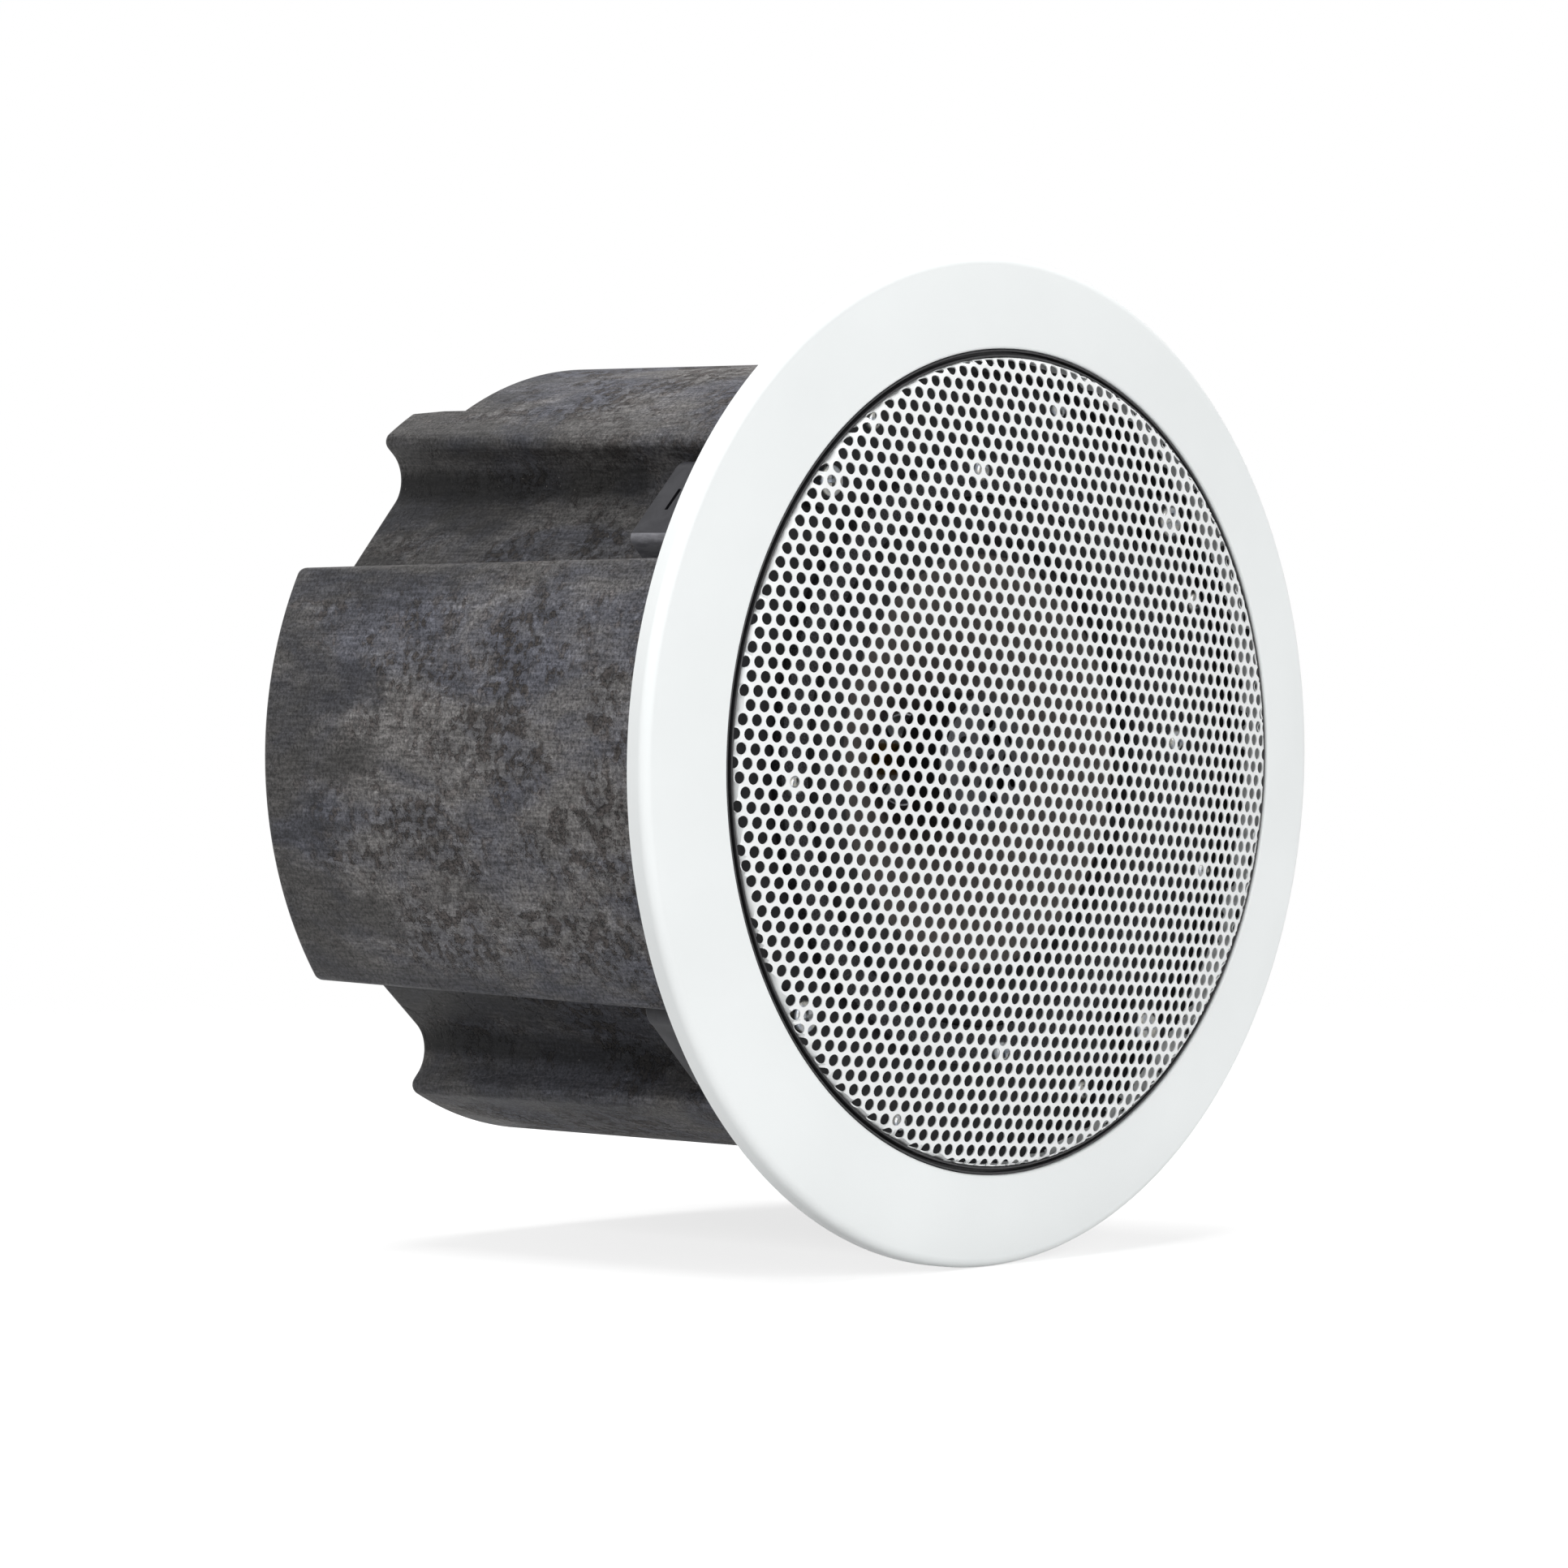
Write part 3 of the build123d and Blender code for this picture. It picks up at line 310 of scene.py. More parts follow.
quarter = reckon(foam_skin, "SIGN", both(foam_skin, parts[0], parts[2]))
stop_side = rise(foam_skin, both(foam_skin, aside, quarter), 4.0, 10.0)
on_stop = both(foam_skin, stop_side, rise(foam_skin, parts[1], 64.0, 72.0, 1.0, 0.0))
off_stop = reckon(foam_skin, "SUBTRACT", 1.0, on_stop)
# The flute walls under the lobes, all but the stops, take painted shade.
shaded_wall = both(foam_skin, rise(foam_skin, off_flute, 15.0, 25.0), in_flute)
shaded_wall = both(foam_skin, shaded_wall, off_stop)
past_flute = both(foam_skin, rise(foam_skin, off_flute, 27.0, 33.0), outside)
on_ridge = both(foam_skin, past_flute, rise(foam_skin, off_flute, 36.0, 58.0, 1.0, 0.0))
to_rear = rise(foam_skin, parts[1], 60.0, 150.0, 0.5, 1.0)
plume = rise(foam_skin, cloud(foam_skin, plumed, 14, 4, 0.6), 0.3, 0.7, -45.0, 45.0)
at_rear = rise(foam_skin, reckon(foam_skin, "ADD", parts[1], plume), 95.0, 185.0)
calm = reckon(foam_skin, "MAXIMUM", both(foam_skin, on_ridge, to_rear), at_rear)
lively = reckon(foam_skin, "SUBTRACT", 1.0, calm)

# Marks of the foaming: smoke, mottle, streaks along the mould, grain, and pitted patches.
smoke = rise(foam_skin, cloud(foam_skin, drawn, 26, 7, 0.62, 0.5), 0.36, 0.6)
mottle = rise(foam_skin, cloud(foam_skin, drawn, 8, 6, 0.64, 0.3), 0.3, 0.7)
streaks = cloud(foam_skin, streaked, 0.8, 5, 0.65)
grain = cloud(foam_skin, spot, 0.9, 5, 0.78)
patch_noise = cloud(foam_skin, spot, 22, 6, 0.62, 0.3)
patches = both(foam_skin, rise(foam_skin, patch_noise, 0.42, 0.56, 0.12, 1.0), lively)
# The patches' rims are painted lighter, as a highlight on their raised edges.
patch_start = rise(foam_skin, patch_noise, 0.478, 0.5)
patch_end = rise(foam_skin, patch_noise, 0.5, 0.525, 1.0, 0.0)
patch_rim_highlight = both(foam_skin, both(foam_skin, patch_start, patch_end), lively)
pit_noise = cloud(foam_skin, spot, 3.6, 7, 0.72, 0.1)
pits = both(foam_skin, rise(foam_skin, pit_noise, 0.505, 0.555), patches)

# Each mark and place darkens or lightens the skin between two shares.
shade = rise(foam_skin, smoke, 0.0, 1.0, 0.78, 1.06)
for value, low, high, darkest, lightest in (
    (mottle, 0.0, 1.0, 0.86, 1.12),
    (streaks, 0.3, 0.7, 0.66, 1.3),
    (grain, 0.33, 0.67, 0.36, 1.6),
    # The patch rims are lightened as a painted highlight.
    (patch_rim_highlight, 0.0, 1.0, 1.0, 1.3),
    (pits, 0.0, 1.0, 1.0, 0.42),
    (calm, 0.0, 1.0, 1.0, 0.4),
    # The flutes are darker, partly as a darker skin and partly as painted shade.
    (in_flute, 0.0, 1.0, 1.0, 0.46),
    # The flute walls under the lobes are darkened as painted shade.
    (shaded_wall, 0.0, 1.0, 1.0, 0.4),
):
    shade = both(foam_skin, shade, rise(foam_skin, value, low, high, darkest, lightest))
tint = layer(foam_skin, smoke, tone(104, 105, 113), tone(110, 108, 107))
tint = layer(foam_skin, pits, tint, tone(115, 109, 107))
foam_colour = layer(foam_skin, 1.0, tint, shade, "MULTIPLY")
specks = rise(foam_skin, cloud(foam_skin, spot, 0.8, 1, 0.5), 0.77, 0.8, 0.0, 0.5)
foam_colour = layer(foam_skin, specks, foam_colour, tone(150, 146, 142))
wire(foam_skin, "Base Color", foam_colour)
relief = bump(foam_skin, rise(foam_skin, patch_noise, 0.49, 0.525), 0.22)
relief = bump(foam_skin, pits, -0.4, relief)
relief = bump(foam_skin, grain, 0.18, relief)
relief = bump(foam_skin, streaks, 0.06, relief)
wire(foam_skin, "Normal", relief)
wire(foam_skin, "Roughness", rise(foam_skin, calm, 0.0, 1.0, 0.7, 0.52))
back_can.data.materials.append(foam_skin)
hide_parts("back_can")
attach(back_can, "speaker")

# Damping pad: a soft mat of grey polyester fibre that lines the can's wall and soaks up sound.
# It is cut to length, rolled up and held against the wall by its own spring.


def dress(made, *names):
    """Gives pieces of the frame their finish."""
    for name in names:
        for held in nodes[name].material_slots:
            held.material = made


grey_fibre = finish("grey_fibre", tone(150, 150, 146), 0.95)
strands = cloud(grey_fibre, place(grey_fibre, (1.0, 0.2, 1.0)), 0.7, 5, 0.7, 1.5)
tufts = rise(grey_fibre, strands, 0.35, 0.65)
wire(grey_fibre, "Base Color", layer(grey_fibre, tufts, tone(112, 112, 110), tone(172, 171, 166)))
wire(grey_fibre, "Normal", bump(grey_fibre, strands, 0.5))
dress(grey_fibre, "damping_pad")

# Crossover: a small circuit board on posts at the rear of the can, with two capacitors and a coil.
# The board is glass laminate under a green mask, the capacitors are sleeved, and the coil is wound
# from copper wire.
board_green = finish("board_green", tone(30, 84, 50), 0.35)
lanes = add(board_green, "ShaderNodeTexVoronoi", {"Vector": place(board_green), "Scale": 0.12},
            feature="DISTANCE_TO_EDGE", distance="MANHATTAN").outputs["Distance"]
tracks = rise(board_green, lanes, 0.05, 0.09, 1.0, 0.0)
wire(board_green, "Base Color", layer(board_green, tracks, tone(24, 70, 42), tone(52, 118, 66)))
wire(board_green, "Normal", bump(board_green, tracks, 0.04))
dress(board_green, "crossover_board")

capacitor_sleeve = finish("capacitor_sleeve", tone(28, 29, 34), 0.3)
sleeve = cloud(capacitor_sleeve, place(capacitor_sleeve, (0.2, 1.0, 1.0)), 2.0, 3, 0.6)
sleeve_black = layer(capacitor_sleeve, sleeve, tone(22, 23, 27), tone(36, 37, 43))
wire(capacitor_sleeve, "Base Color", sleeve_black)
wire(capacitor_sleeve, "Normal", bump(capacitor_sleeve, sleeve, 0.05))
dress(capacitor_sleeve, "crossover_capacitors")


def bands(made, where, scale, along, bend=0.0):
    """Even bands that follow each other along one axis."""
    sockets = {"Vector": where, "Scale": scale, "Distortion": bend}
    return add(made, "ShaderNodeTexWave", sockets, bands_direction=along).outputs["Fac"]


copper_wire = finish("copper_wire", tone(186, 110, 68), 0.32, 1.0)
turns = bands(copper_wire, place(copper_wire), 0.42, "Y", 0.3)
wire(copper_wire, "Base Color", layer(copper_wire, turns, tone(116, 58, 34), tone(206, 126, 80)))
wire(copper_wire, "Normal", bump(copper_wire, turns, 0.25))
dress(copper_wire, "crossover_coil", "voice_coil")

# Terminals: a black plate in the step of the upper lobe, held by two screws, with a four-way block.
# Each way has a square mouth for the bare wire and a slotted screw that clamps it from above.
terminal_z = 89.2
plate_low = (-33.0, 148.4, terminal_z - 10.0)
plate_high = (33.0, 150.9, terminal_z + 10.0)
block_low = (-21.0, 150.9, terminal_z - 6.5)
block_high = (21.0, 159.9, terminal_z + 6.5)
plate_screw_x = 28.5
plate_hole_r = 1.8
plate_hole_y = (147.0, 152.0)
wire_ways = [-15.75, -5.25, 5.25, 15.75]
mouth_half = 3.15
mouth_y = (153.6, 161.0)
mouth_z = (84.4, 89.6)
well_r = 2.9
well_y = 155.4
well_z = (92.5, 97.0)
partings = (-10.5, 0.0, 10.5)
parting_half = 0.3
parting_y = (159.3, 161.0)
parting_z = (81.0, 97.0)
wire_screw_r = 2.6
wire_screw_ends = (-2.0, -0.5)
wire_screw_top = 94.5
wire_slot_low = (-3.0, -0.35, -1.2)
wire_slot_high = (3.0, 0.35, 0.5)


def ease(made, width, steps=2, angle=40.0):
    """Takes the sharpness off the edges of a piece."""
    edge = made.modifiers.new("ease", "BEVEL")
    edge.width = width / 1000
    edge.segments = steps
    edge.limit_method = "ANGLE"
    edge.angle_limit = radians(angle)
    settle(made)


def hoop(r, y, steps=32, x=0.0, z=0.0):
    """Points of a circle round Y."""
    return [(x + r * cos(2 * pi * i / steps), y, z + r * sin(2 * pi * i / steps)) for i in range(steps)]


def rod(name, x, z, r, y_ends, steps=32):
    """A round bar along Y."""
    return loft(name, [hoop(r, y, steps, x, z) for y in y_ends])


def upright(name, x, y, r, z_ends, steps=28):
    """A round bar along Z."""
    ring = [(x + r * cos(2 * pi * i / steps), y + r * sin(2 * pi * i / steps)) for i in range(steps)]
    return loft(name, [[(px, py, z) for px, py in ring] for z in z_ends])


def cross_slot(reach, half, y):
    """Points of the cross that a screwdriver's tip fits."""
    half_line = [(reach, -half), (reach, half), (half, half)]
    half_line += [(half, reach), (-half, reach), (-half, half)]
    return [(x, y, z) for x, z in half_line + [(-x, -z) for x, z in half_line]]


def pan_screw(name, head_r, head_h, shank_r, length):
    """A screw with a domed head towards -Y, its cross recess, and a plain shank from its seat at 0."""
    rings = []
    for i in range(7):
        t = pi / 2 * i / 6
        rings.append(hoop(head_r * (0.5 + 0.5 * sin(t)), -head_h * (0.3 + 0.7 * cos(t))))
    rings += [hoop(head_r, 0.0), hoop(shank_r, 0.0), hoop(shank_r, length)]
    made = loft(name, rings)
    recess = [cross_slot(head_r * 0.62, head_r * 0.17, -head_h - 0.2)]
    recess.append(cross_slot(head_r * 0.34, head_r * 0.12, -head_h * 0.4))
    join(made, loft("recess", recess), "DIFFERENCE")
    return made


def set_out(name, pattern, spots, flip=False):
    """Copies of a pattern at the given places, as one piece; flip turns them end for end."""
    shape = bmesh.new()
    for x, y, z in spots:
        turn = Matrix.Rotation(pi, 4, "X") if flip else Matrix()
        mesh = pattern.data.copy()
        mesh.transform(Matrix.Translation((x / 1000, y / 1000, z / 1000)) @ turn)
        shape.from_mesh(mesh)
        bpy.data.meshes.remove(mesh)
    mesh = bpy.data.meshes.new(name)
    shape.to_mesh(mesh)
    shape.free()
    mesh.shade_smooth()
    mesh.set_sharp_from_angle(angle=radians(32))
    made = bpy.data.objects.new(name, mesh)
    bpy.context.scene.collection.objects.link(made)
    bpy.data.objects.remove(pattern)
    return made


def fit(made, coat, slot, *stands_for, body="speaker"):
    """Coats a new piece, hides the pieces of the frame it stands for, and fixes it to its body."""
    made.data.materials.clear()
    made.data.materials.append(coat)
    if stands_for:
        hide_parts(*stands_for)
    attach(made, body)


terminal_plate = block("terminal_panel", plate_low, plate_high)
for x in (-plate_screw_x, plate_screw_x):
    join(terminal_plate, rod("hole", x, terminal_z, plate_hole_r, plate_hole_y, 28), "DIFFERENCE")
ease(terminal_plate, 0.5)
black_moulded = finish("black_moulded", tone(40, 40, 42), 0.55, gleam=0.25)
spot = place(black_moulded)
etched = cloud(black_moulded, spot, 0.5, 2, 0.5)
worn = rise(black_moulded, cloud(black_moulded, spot, 14, 4, 0.6), 0.4, 0.7)
wire(black_moulded, "Base Color", layer(black_moulded, worn, tone(36, 36, 38), tone(50, 50, 52)))
wire(black_moulded, "Normal", bump(black_moulded, etched, 0.025))
fit(terminal_plate, black_moulded, "black_moulded", "terminal_plate")

terminal_block = block("terminal_body", block_low, block_high)
for x in wire_ways:
    mouth_low = (x - mouth_half, mouth_y[0], mouth_z[0])
    mouth_high = (x + mouth_half, mouth_y[1], mouth_z[1])
    join(terminal_block, block("mouth", mouth_low, mouth_high), "DIFFERENCE")
    join(terminal_block, upright("well", x, well_y, well_r, well_z), "DIFFERENCE")
for x in partings:
    parting_low = (x - parting_half, parting_y[0], parting_z[0])
    parting_high = (x + parting_half, parting_y[1], parting_z[1])
    join(terminal_block, block("parting", parting_low, parting_high), "DIFFERENCE")
ease(terminal_block, 0.25)
terminal_black = finish("terminal_black", tone(44, 44, 47), 0.32)
gloss = cloud(terminal_black, place(terminal_black), 3.0, 3, 0.55)
wire(terminal_black, "Base Color", layer(terminal_black, gloss, tone(38, 38, 41), tone(52, 52, 55)))
wire(terminal_black, "Normal", bump(terminal_black, gloss, 0.02))
fit(terminal_block, terminal_black, "terminal_black", "terminal_block")

zinc_steel = finish("zinc_steel", tone(196, 199, 204), 0.34, 1.0)
spot = place(zinc_steel)
tint = rise(zinc_steel, cloud(zinc_steel, spot, 2.2, 4, 0.6), 0.35, 0.65)
wire(zinc_steel, "Base Color", layer(zinc_steel, tint, tone(182, 188, 198), tone(206, 204, 196)))
plating = cloud(zinc_steel, spot, 0.8, 3, 0.6)
wire(zinc_steel, "Roughness", rise(zinc_steel, plating, 0.3, 0.7, 0.26, 0.44))
wire(zinc_steel, "Normal", bump(zinc_steel, cloud(zinc_steel, spot, 0.3, 2, 0.5), 0.008))
plate_screw = pan_screw("plate_screw", head_r=3.0, head_h=2.25, shank_r=1.5, length=6.0)
spots = [(x, plate_high[1], terminal_z) for x in (-plate_screw_x, plate_screw_x)]
fit(set_out("terminal_fixings", plate_screw, spots, True), zinc_steel, "zinc_steel", "terminal_screws")

wire_screw = upright("wire_screw", 0.0, 0.0, wire_screw_r, wire_screw_ends)
join(wire_screw, block("slot", wire_slot_low, wire_slot_high), "DIFFERENCE")
ease(wire_screw, 0.15)
spots = [(x, well_y, wire_screw_top) for x in wire_ways]
fit(set_out("wire_screws", wire_screw, spots), zinc_steel, "zinc_steel")

# Baffle: the black moulded plate that everything hangs on, with the driver's hole in its middle.
# A thin foam line seals the can against it, and eight screws from the front draw the can up to it.
can_screw_r = 103.8
can_screw_aside = 22
can_screw_turns = [90 * k + side * can_screw_aside for k in range(4) for side in (-1, 1)]
dress(black_moulded, "baffle")
grey_foam = finish("grey_foam", tone(62, 62, 65), 0.9)
foamed = add(grey_foam, "ShaderNodeTexVoronoi", {"Vector": place(grey_foam), "Scale": 1.6})
cells = foamed.outputs["Distance"]
hollows = rise(grey_foam, cells, 0.1, 0.7)
wire(grey_foam, "Base Color", layer(grey_foam, hollows, tone(74, 74, 77), tone(44, 44, 47)))
wire(grey_foam, "Normal", bump(grey_foam, cells, -0.2))
dress(grey_foam, "can_gasket")
spots = [(can_screw_r * cos(radians(t)), 0.0, can_screw_r * sin(radians(t))) for t in can_screw_turns]
can_screw = pan_screw("can_screw", head_r=3.0, head_h=2.25, shank_r=1.5, length=21.5)
fit(set_out("can_fixings", can_screw, spots), zinc_steel, "zinc_steel", "can_screws")

# Driver: a black pressed steel basket with a light grey paper cone on a rubber half roll, a sprung
# cloth spider, a copper coil and a ferrite ring magnet between steel plates. Four screws hold it.
driver_screw_r = 80.6
driver_head_h = 2.6
black_steel = finish("black_steel", tone(34, 34, 37), 0.38)
spot = place(black_steel)
wire(black_steel, "Normal", bump(black_steel, cloud(black_steel, spot, 0.9, 2, 0.5), 0.02))
coat = rise(black_steel, cloud(black_steel, spot, 9, 4, 0.6), 0.35, 0.7)
wire(black_steel, "Base Color", layer(black_steel, coat, tone(28, 28, 31), tone(42, 42, 45)))
dress(black_steel, "basket")
dress(grey_foam, "driver_gasket")
dress(black_moulded, "driver_terminals")
dress(zinc_steel, "pole_yoke", "top_plate")

driver_screw = pan_screw("driver_screw", head_r=3.15, head_h=driver_head_h, shank_r=1.75, length=4.0)
seat_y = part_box("driver_screws")[0][1] * 1000 + driver_head_h
spots = [(driver_screw_r * cos(pi / 2 * k), seat_y, driver_screw_r * sin(pi / 2 * k)) for k in range(4)]
fit(set_out("driver_fixings", driver_screw, spots), zinc_steel, "zinc_steel", "driver_screws")

soft_rubber = finish("surround_rubber", tone(36, 36, 38), 0.55, gleam=0.3)
spot = place(soft_rubber)
bloom = rise(soft_rubber, cloud(soft_rubber, spot, 6, 4, 0.6), 0.4, 0.7)
wire(soft_rubber, "Base Color", layer(soft_rubber, bloom, tone(30, 30, 32), tone(46, 46, 48)))
wire(soft_rubber, "Normal", bump(soft_rubber, cloud(soft_rubber, spot, 0.5, 2, 0.5), 0.01))
dress(soft_rubber, "surround")

cone_paper = finish("cone_paper", tone(94, 90, 88), 0.7, gleam=0.15)
fibres = cloud(cone_paper, place(cone_paper), 0.9, 5, 0.7, 1.2)
pulp = rise(cone_paper, fibres, 0.35, 0.65)
wire(cone_paper, "Base Color", layer(cone_paper, pulp, tone(86, 82, 80), tone(100, 96, 94)))
wire(cone_paper, "Normal", bump(cone_paper, fibres, 0.06))
dress(cone_paper, "cone")


def woven(made, scale):
    """Threads across and along, highest where they cross."""
    where = place(made)
    return both(made, bands(made, where, scale, "X"), bands(made, where, scale, "Z"))


spider_cloth = finish("spider_cloth", tone(190, 152, 84), 0.85)
weave = woven(spider_cloth, 0.5)
wire(spider_cloth, "Base Color", layer(spider_cloth, weave, tone(150, 112, 56), tone(206, 170, 102)))
wire(spider_cloth, "Normal", bump(spider_cloth, weave, 0.15))
dress(spider_cloth, "spider")

former_foil = finish("former_foil", tone(204, 206, 210), 0.3, 1.0)
rolled = cloud(former_foil, place(former_foil, (0.1, 1.0, 0.1)), 0.4, 3, 0.6)
wire(former_foil, "Roughness", rise(former_foil, rolled, 0.3, 0.7, 0.22, 0.42))
wire(former_foil, "Normal", bump(former_foil, rolled, 0.01))
dress(former_foil, "voice_coil_former")

ferrite = finish("ferrite", tone(72, 72, 75), 0.6)
ground_grit = cloud(ferrite, place(ferrite), 0.7, 4, 0.65)
wire(ferrite, "Base Color", layer(ferrite, ground_grit, tone(56, 56, 59), tone(90, 90, 93)))
wire(ferrite, "Normal", bump(ferrite, ground_grit, 0.04))
dress(ferrite, "magnet")

# Tweeter: a small silk dome in a turned housing, on a brass post through the middle of the magnet.
# A perforated metal screen covers the dome and a nut behind the yoke holds the post.
tweeter_black = finish("tweeter_black", tone(30, 30, 32), 0.25)
spun_lines = cloud(tweeter_black, place(tweeter_black, (0.15, 2.0, 0.15)), 0.6, 3, 0.6)
wire(tweeter_black, "Roughness", rise(tweeter_black, spun_lines, 0.3, 0.7, 0.28, 0.46))
wire(tweeter_black, "Normal", bump(tweeter_black, spun_lines, 0.012))
dress(tweeter_black, "tweeter_body")
dome_silk = finish("dome_silk", tone(52, 52, 55), 0.45)
weave = woven(dome_silk, 0.8)
wire(dome_silk, "Base Color", layer(dome_silk, weave, tone(44, 44, 47), tone(64, 64, 67)))
wire(dome_silk, "Normal", bump(dome_silk, weave, 0.03))
dress(dome_silk, "tweeter_dome")
screen_metal = finish("screen_metal", tone(84, 85, 88), 0.34, 1.0)
brushed = cloud(screen_metal, place(screen_metal), 0.8, 4, 0.6)
wire(screen_metal, "Roughness", rise(screen_metal, brushed, 0.3, 0.7, 0.26, 0.46))
wire(screen_metal, "Normal", bump(screen_metal, brushed, 0.015))
dress(screen_metal, "tweeter_screen")
brass = finish("brass", tone(202, 170, 104), 0.3, 1.0)
tarnish = rise(brass, cloud(brass, place(brass), 3, 4, 0.6), 0.4, 0.7)
wire(brass, "Base Color", layer(brass, tarnish, tone(208, 176, 108), tone(168, 132, 74)))
wire(brass, "Normal", bump(brass, cloud(brass, place(brass, (0.1, 2.0, 0.1)), 0.4, 2, 0.5), 0.01))
dress(brass, "tweeter_post")
dress(zinc_steel, "tweeter_nut")

# Clamps: in each flute a long zinc screw turns in the baffle and draws a brass bush along its thread.
# A moulded grey dog, with a painted highlight on its tip, swings out on the bush and grips the
# ceiling board from above. A clip keeps each screw in place.
clamp_r = 102.0
clamp_aside = 7.2
clamp_turns = [radians(45 + 90 * k - clamp_aside) for k in range(4)]
thread_pitch = 2.0
thread_out = 2.5
thread_in = 2.02
thread_from = 9.0
thread_step = 0.25
screw_end = 47.7
screw_point = 0.8
head_front = -7.0
head_seat = -4.0
head_r = 4.5
head_round = 1.0
head_cross = ((2.5, 0.62, head_front - 0.2), (1.4, 0.45, head_front + 1.9))
dog_front = 28.0
dog_back = 48.0
dog_hub = 5.6
dog_reach = 27.0
dog_half = 5.5
dog_lean = 2.1
dog_tip = 2.5
dog_edge = 0.7
dog_hole_r = 2.8
bush_room_r = 4.5
bush_room_y = (29.9, 46.1)
dog_slot = ((3.1, 8.5), (8.0, 8.5), (8.0, 16.5), (3.1, 16.5))
dog_slot_y = (40.0, 41.2)
tip_highlight_depth = 1.6
round_steps = 6


def clamp_screw(name, x, z):
    """The screw's domed head with its cross recess, its smooth neck and its thread."""
    steps = 32
    rings = [hoop(head_r * 0.6, head_front, steps, x, z)]
    for i in range(round_steps + 1):
        t = pi / 2 * i / round_steps
        r = head_r - head_round + head_round * sin(t)
        rings.append(hoop(r, head_front + head_round - head_round * cos(t), steps, x, z))
    for r, y in ((head_r, head_seat), (thread_out, head_seat), (thread_out, thread_from)):
        rings.append(hoop(r, y, steps, x, z))
    count = int((screw_end - screw_point - thread_from) / thread_step)
    for j in range(1, count + 1):
        y = thread_from + thread_step * j
        ring = []
        for i in range(steps):
            share = (y / thread_pitch - i / steps) % 1.0
            r = thread_in + (thread_out - thread_in) * abs(2 * share - 1)
            ring.append((x + r * cos(2 * pi * i / steps), y, z + r * sin(2 * pi * i / steps)))
        rings.append(ring)
    rings.append(hoop(thread_in - 0.3, screw_end, steps, x, z))
    made = loft(name, rings, 40.0)
    recess = []
    for reach, half, y in head_cross:
        recess.append([(x + px, py, z + pz) for px, py, pz in cross_slot(reach, half, y)])
    join(made, loft("recess", recess), "DIFFERENCE", 40.0)
    return made


def dog_line(inset):
    """The dog's outline round its hub and its arm, moved in by inset."""
    hub = dog_hub - inset
    half = dog_half - inset
    lean = atan2(dog_lean, dog_reach)
    tip = dog_tip - inset
    line = []
    for i in range(33):
        a = pi / 2 + lean + asin(half / hub) + (2 * pi - 2 * asin(half / hub)) * i / 32
        line.append((hub * cos(a), hub * sin(a)))
    out = dog_reach - inset - tip
    for side, a0, a1 in ((1, 0.0, 90.0), (-1, 90.0, 180.0)):
        for i in range(9):
            a = radians(a0 + (a1 - a0) * i / 8)
            u = side * (half - tip) + tip * cos(a)
            v = out + tip * sin(a)
            line.append((u * cos(lean) - v * sin(lean), u * sin(lean) + v * cos(lean)))
    return line


def clamp_dog(name, k):
    """The dog of one clamp, parked in its flute, with rounded edges, its screw hole and its slot."""
    turn = clamp_turns[k]

    def at(u, v, y):
        return swung(turn, clamp_r + u, v, y)

    rounding = [pi / 2 * i / round_steps for i in range(round_steps + 1)]
    rings = []
    for end, way, turns in ((dog_front, 1, rounding[::-1]), (dog_back, -1, rounding)):
        for t in turns:
            y = end + way * dog_edge * (1 - sin(t))
            rings.append([at(u, v, y) for u, v in dog_line(dog_edge * (1 - cos(t)))])
    made = loft(name, rings)
    middle = at(0.0, 0.0, 0.0)
    hole_y = (dog_front - 1, dog_back + 1)
    join(made, rod("hole", middle[0], middle[2], dog_hole_r, hole_y), "DIFFERENCE")
    join(made, rod("room", middle[0], middle[2], bush_room_r, bush_room_y), "DIFFERENCE")
    slot = [[at(u, v, y) for u, v in dog_slot] for y in dog_slot_y]
    join(made, loft("slot", slot), "DIFFERENCE")
    return made


dog_grey = finish("dog_grey", tone(50, 50, 54), 0.42, gleam=0.2)
spot = place(dog_grey)
flow = rise(dog_grey, cloud(dog_grey, spot, 7, 4, 0.6, 0.8), 0.35, 0.65)
wire(dog_grey, "Base Color", layer(dog_grey, flow, tone(44, 44, 48), tone(55, 55, 59)))
wire(dog_grey, "Normal", bump(dog_grey, cloud(dog_grey, spot, 0.6, 3, 0.5), 0.015))
# A lit copy of the dog's grey, painted on the faces at its tip as a highlight.
tip_highlight_grey = finish("tip_highlight_grey", tone(118, 118, 123), 0.5, gleam=0.3)
tip_highlight_noise = cloud(tip_highlight_grey, place(tip_highlight_grey, (1.0, 0.3, 1.0)), 1.6, 4, 0.65)
tip_highlight_share = rise(tip_highlight_grey, tip_highlight_noise, 0.35, 0.65)
wire(tip_highlight_grey, "Base Color", layer(tip_highlight_grey, tip_highlight_share, tone(106, 106, 111), tone(130, 130, 135)))
wire(tip_highlight_grey, "Normal", bump(tip_highlight_grey, tip_highlight_share, 0.02))
for k in range(4):
    middle = (clamp_r * cos(clamp_turns[k]), clamp_r * sin(clamp_turns[k]))
    fit(clamp_screw(f"clamp_thread_{k + 1}", *middle), zinc_steel, "zinc_steel", f"clamp_screw_{k + 1}",
        body=f"clamp_screw_{k + 1}")
    arm = clamp_dog(f"clamp_arm_{k + 1}", k)
    fit(arm, dog_grey, "dog_grey", f"clamp_dog_{k + 1}", body=f"clamp_dog_{k + 1}")
    arm.data.materials.append(tip_highlight_grey)
    # The faces near the end of the arm take the painted highlight.
    along = Vector((-sin(clamp_turns[k]), 0.0, cos(clamp_turns[k])))
    for face in arm.data.polygons:
        face.material_index = int(face.center.dot(along) * 1000 > dog_reach - tip_highlight_depth)
    dress(zinc_steel, f"clamp_clip_{k + 1}")
    dress(brass, f"clamp_bush_{k + 1}")

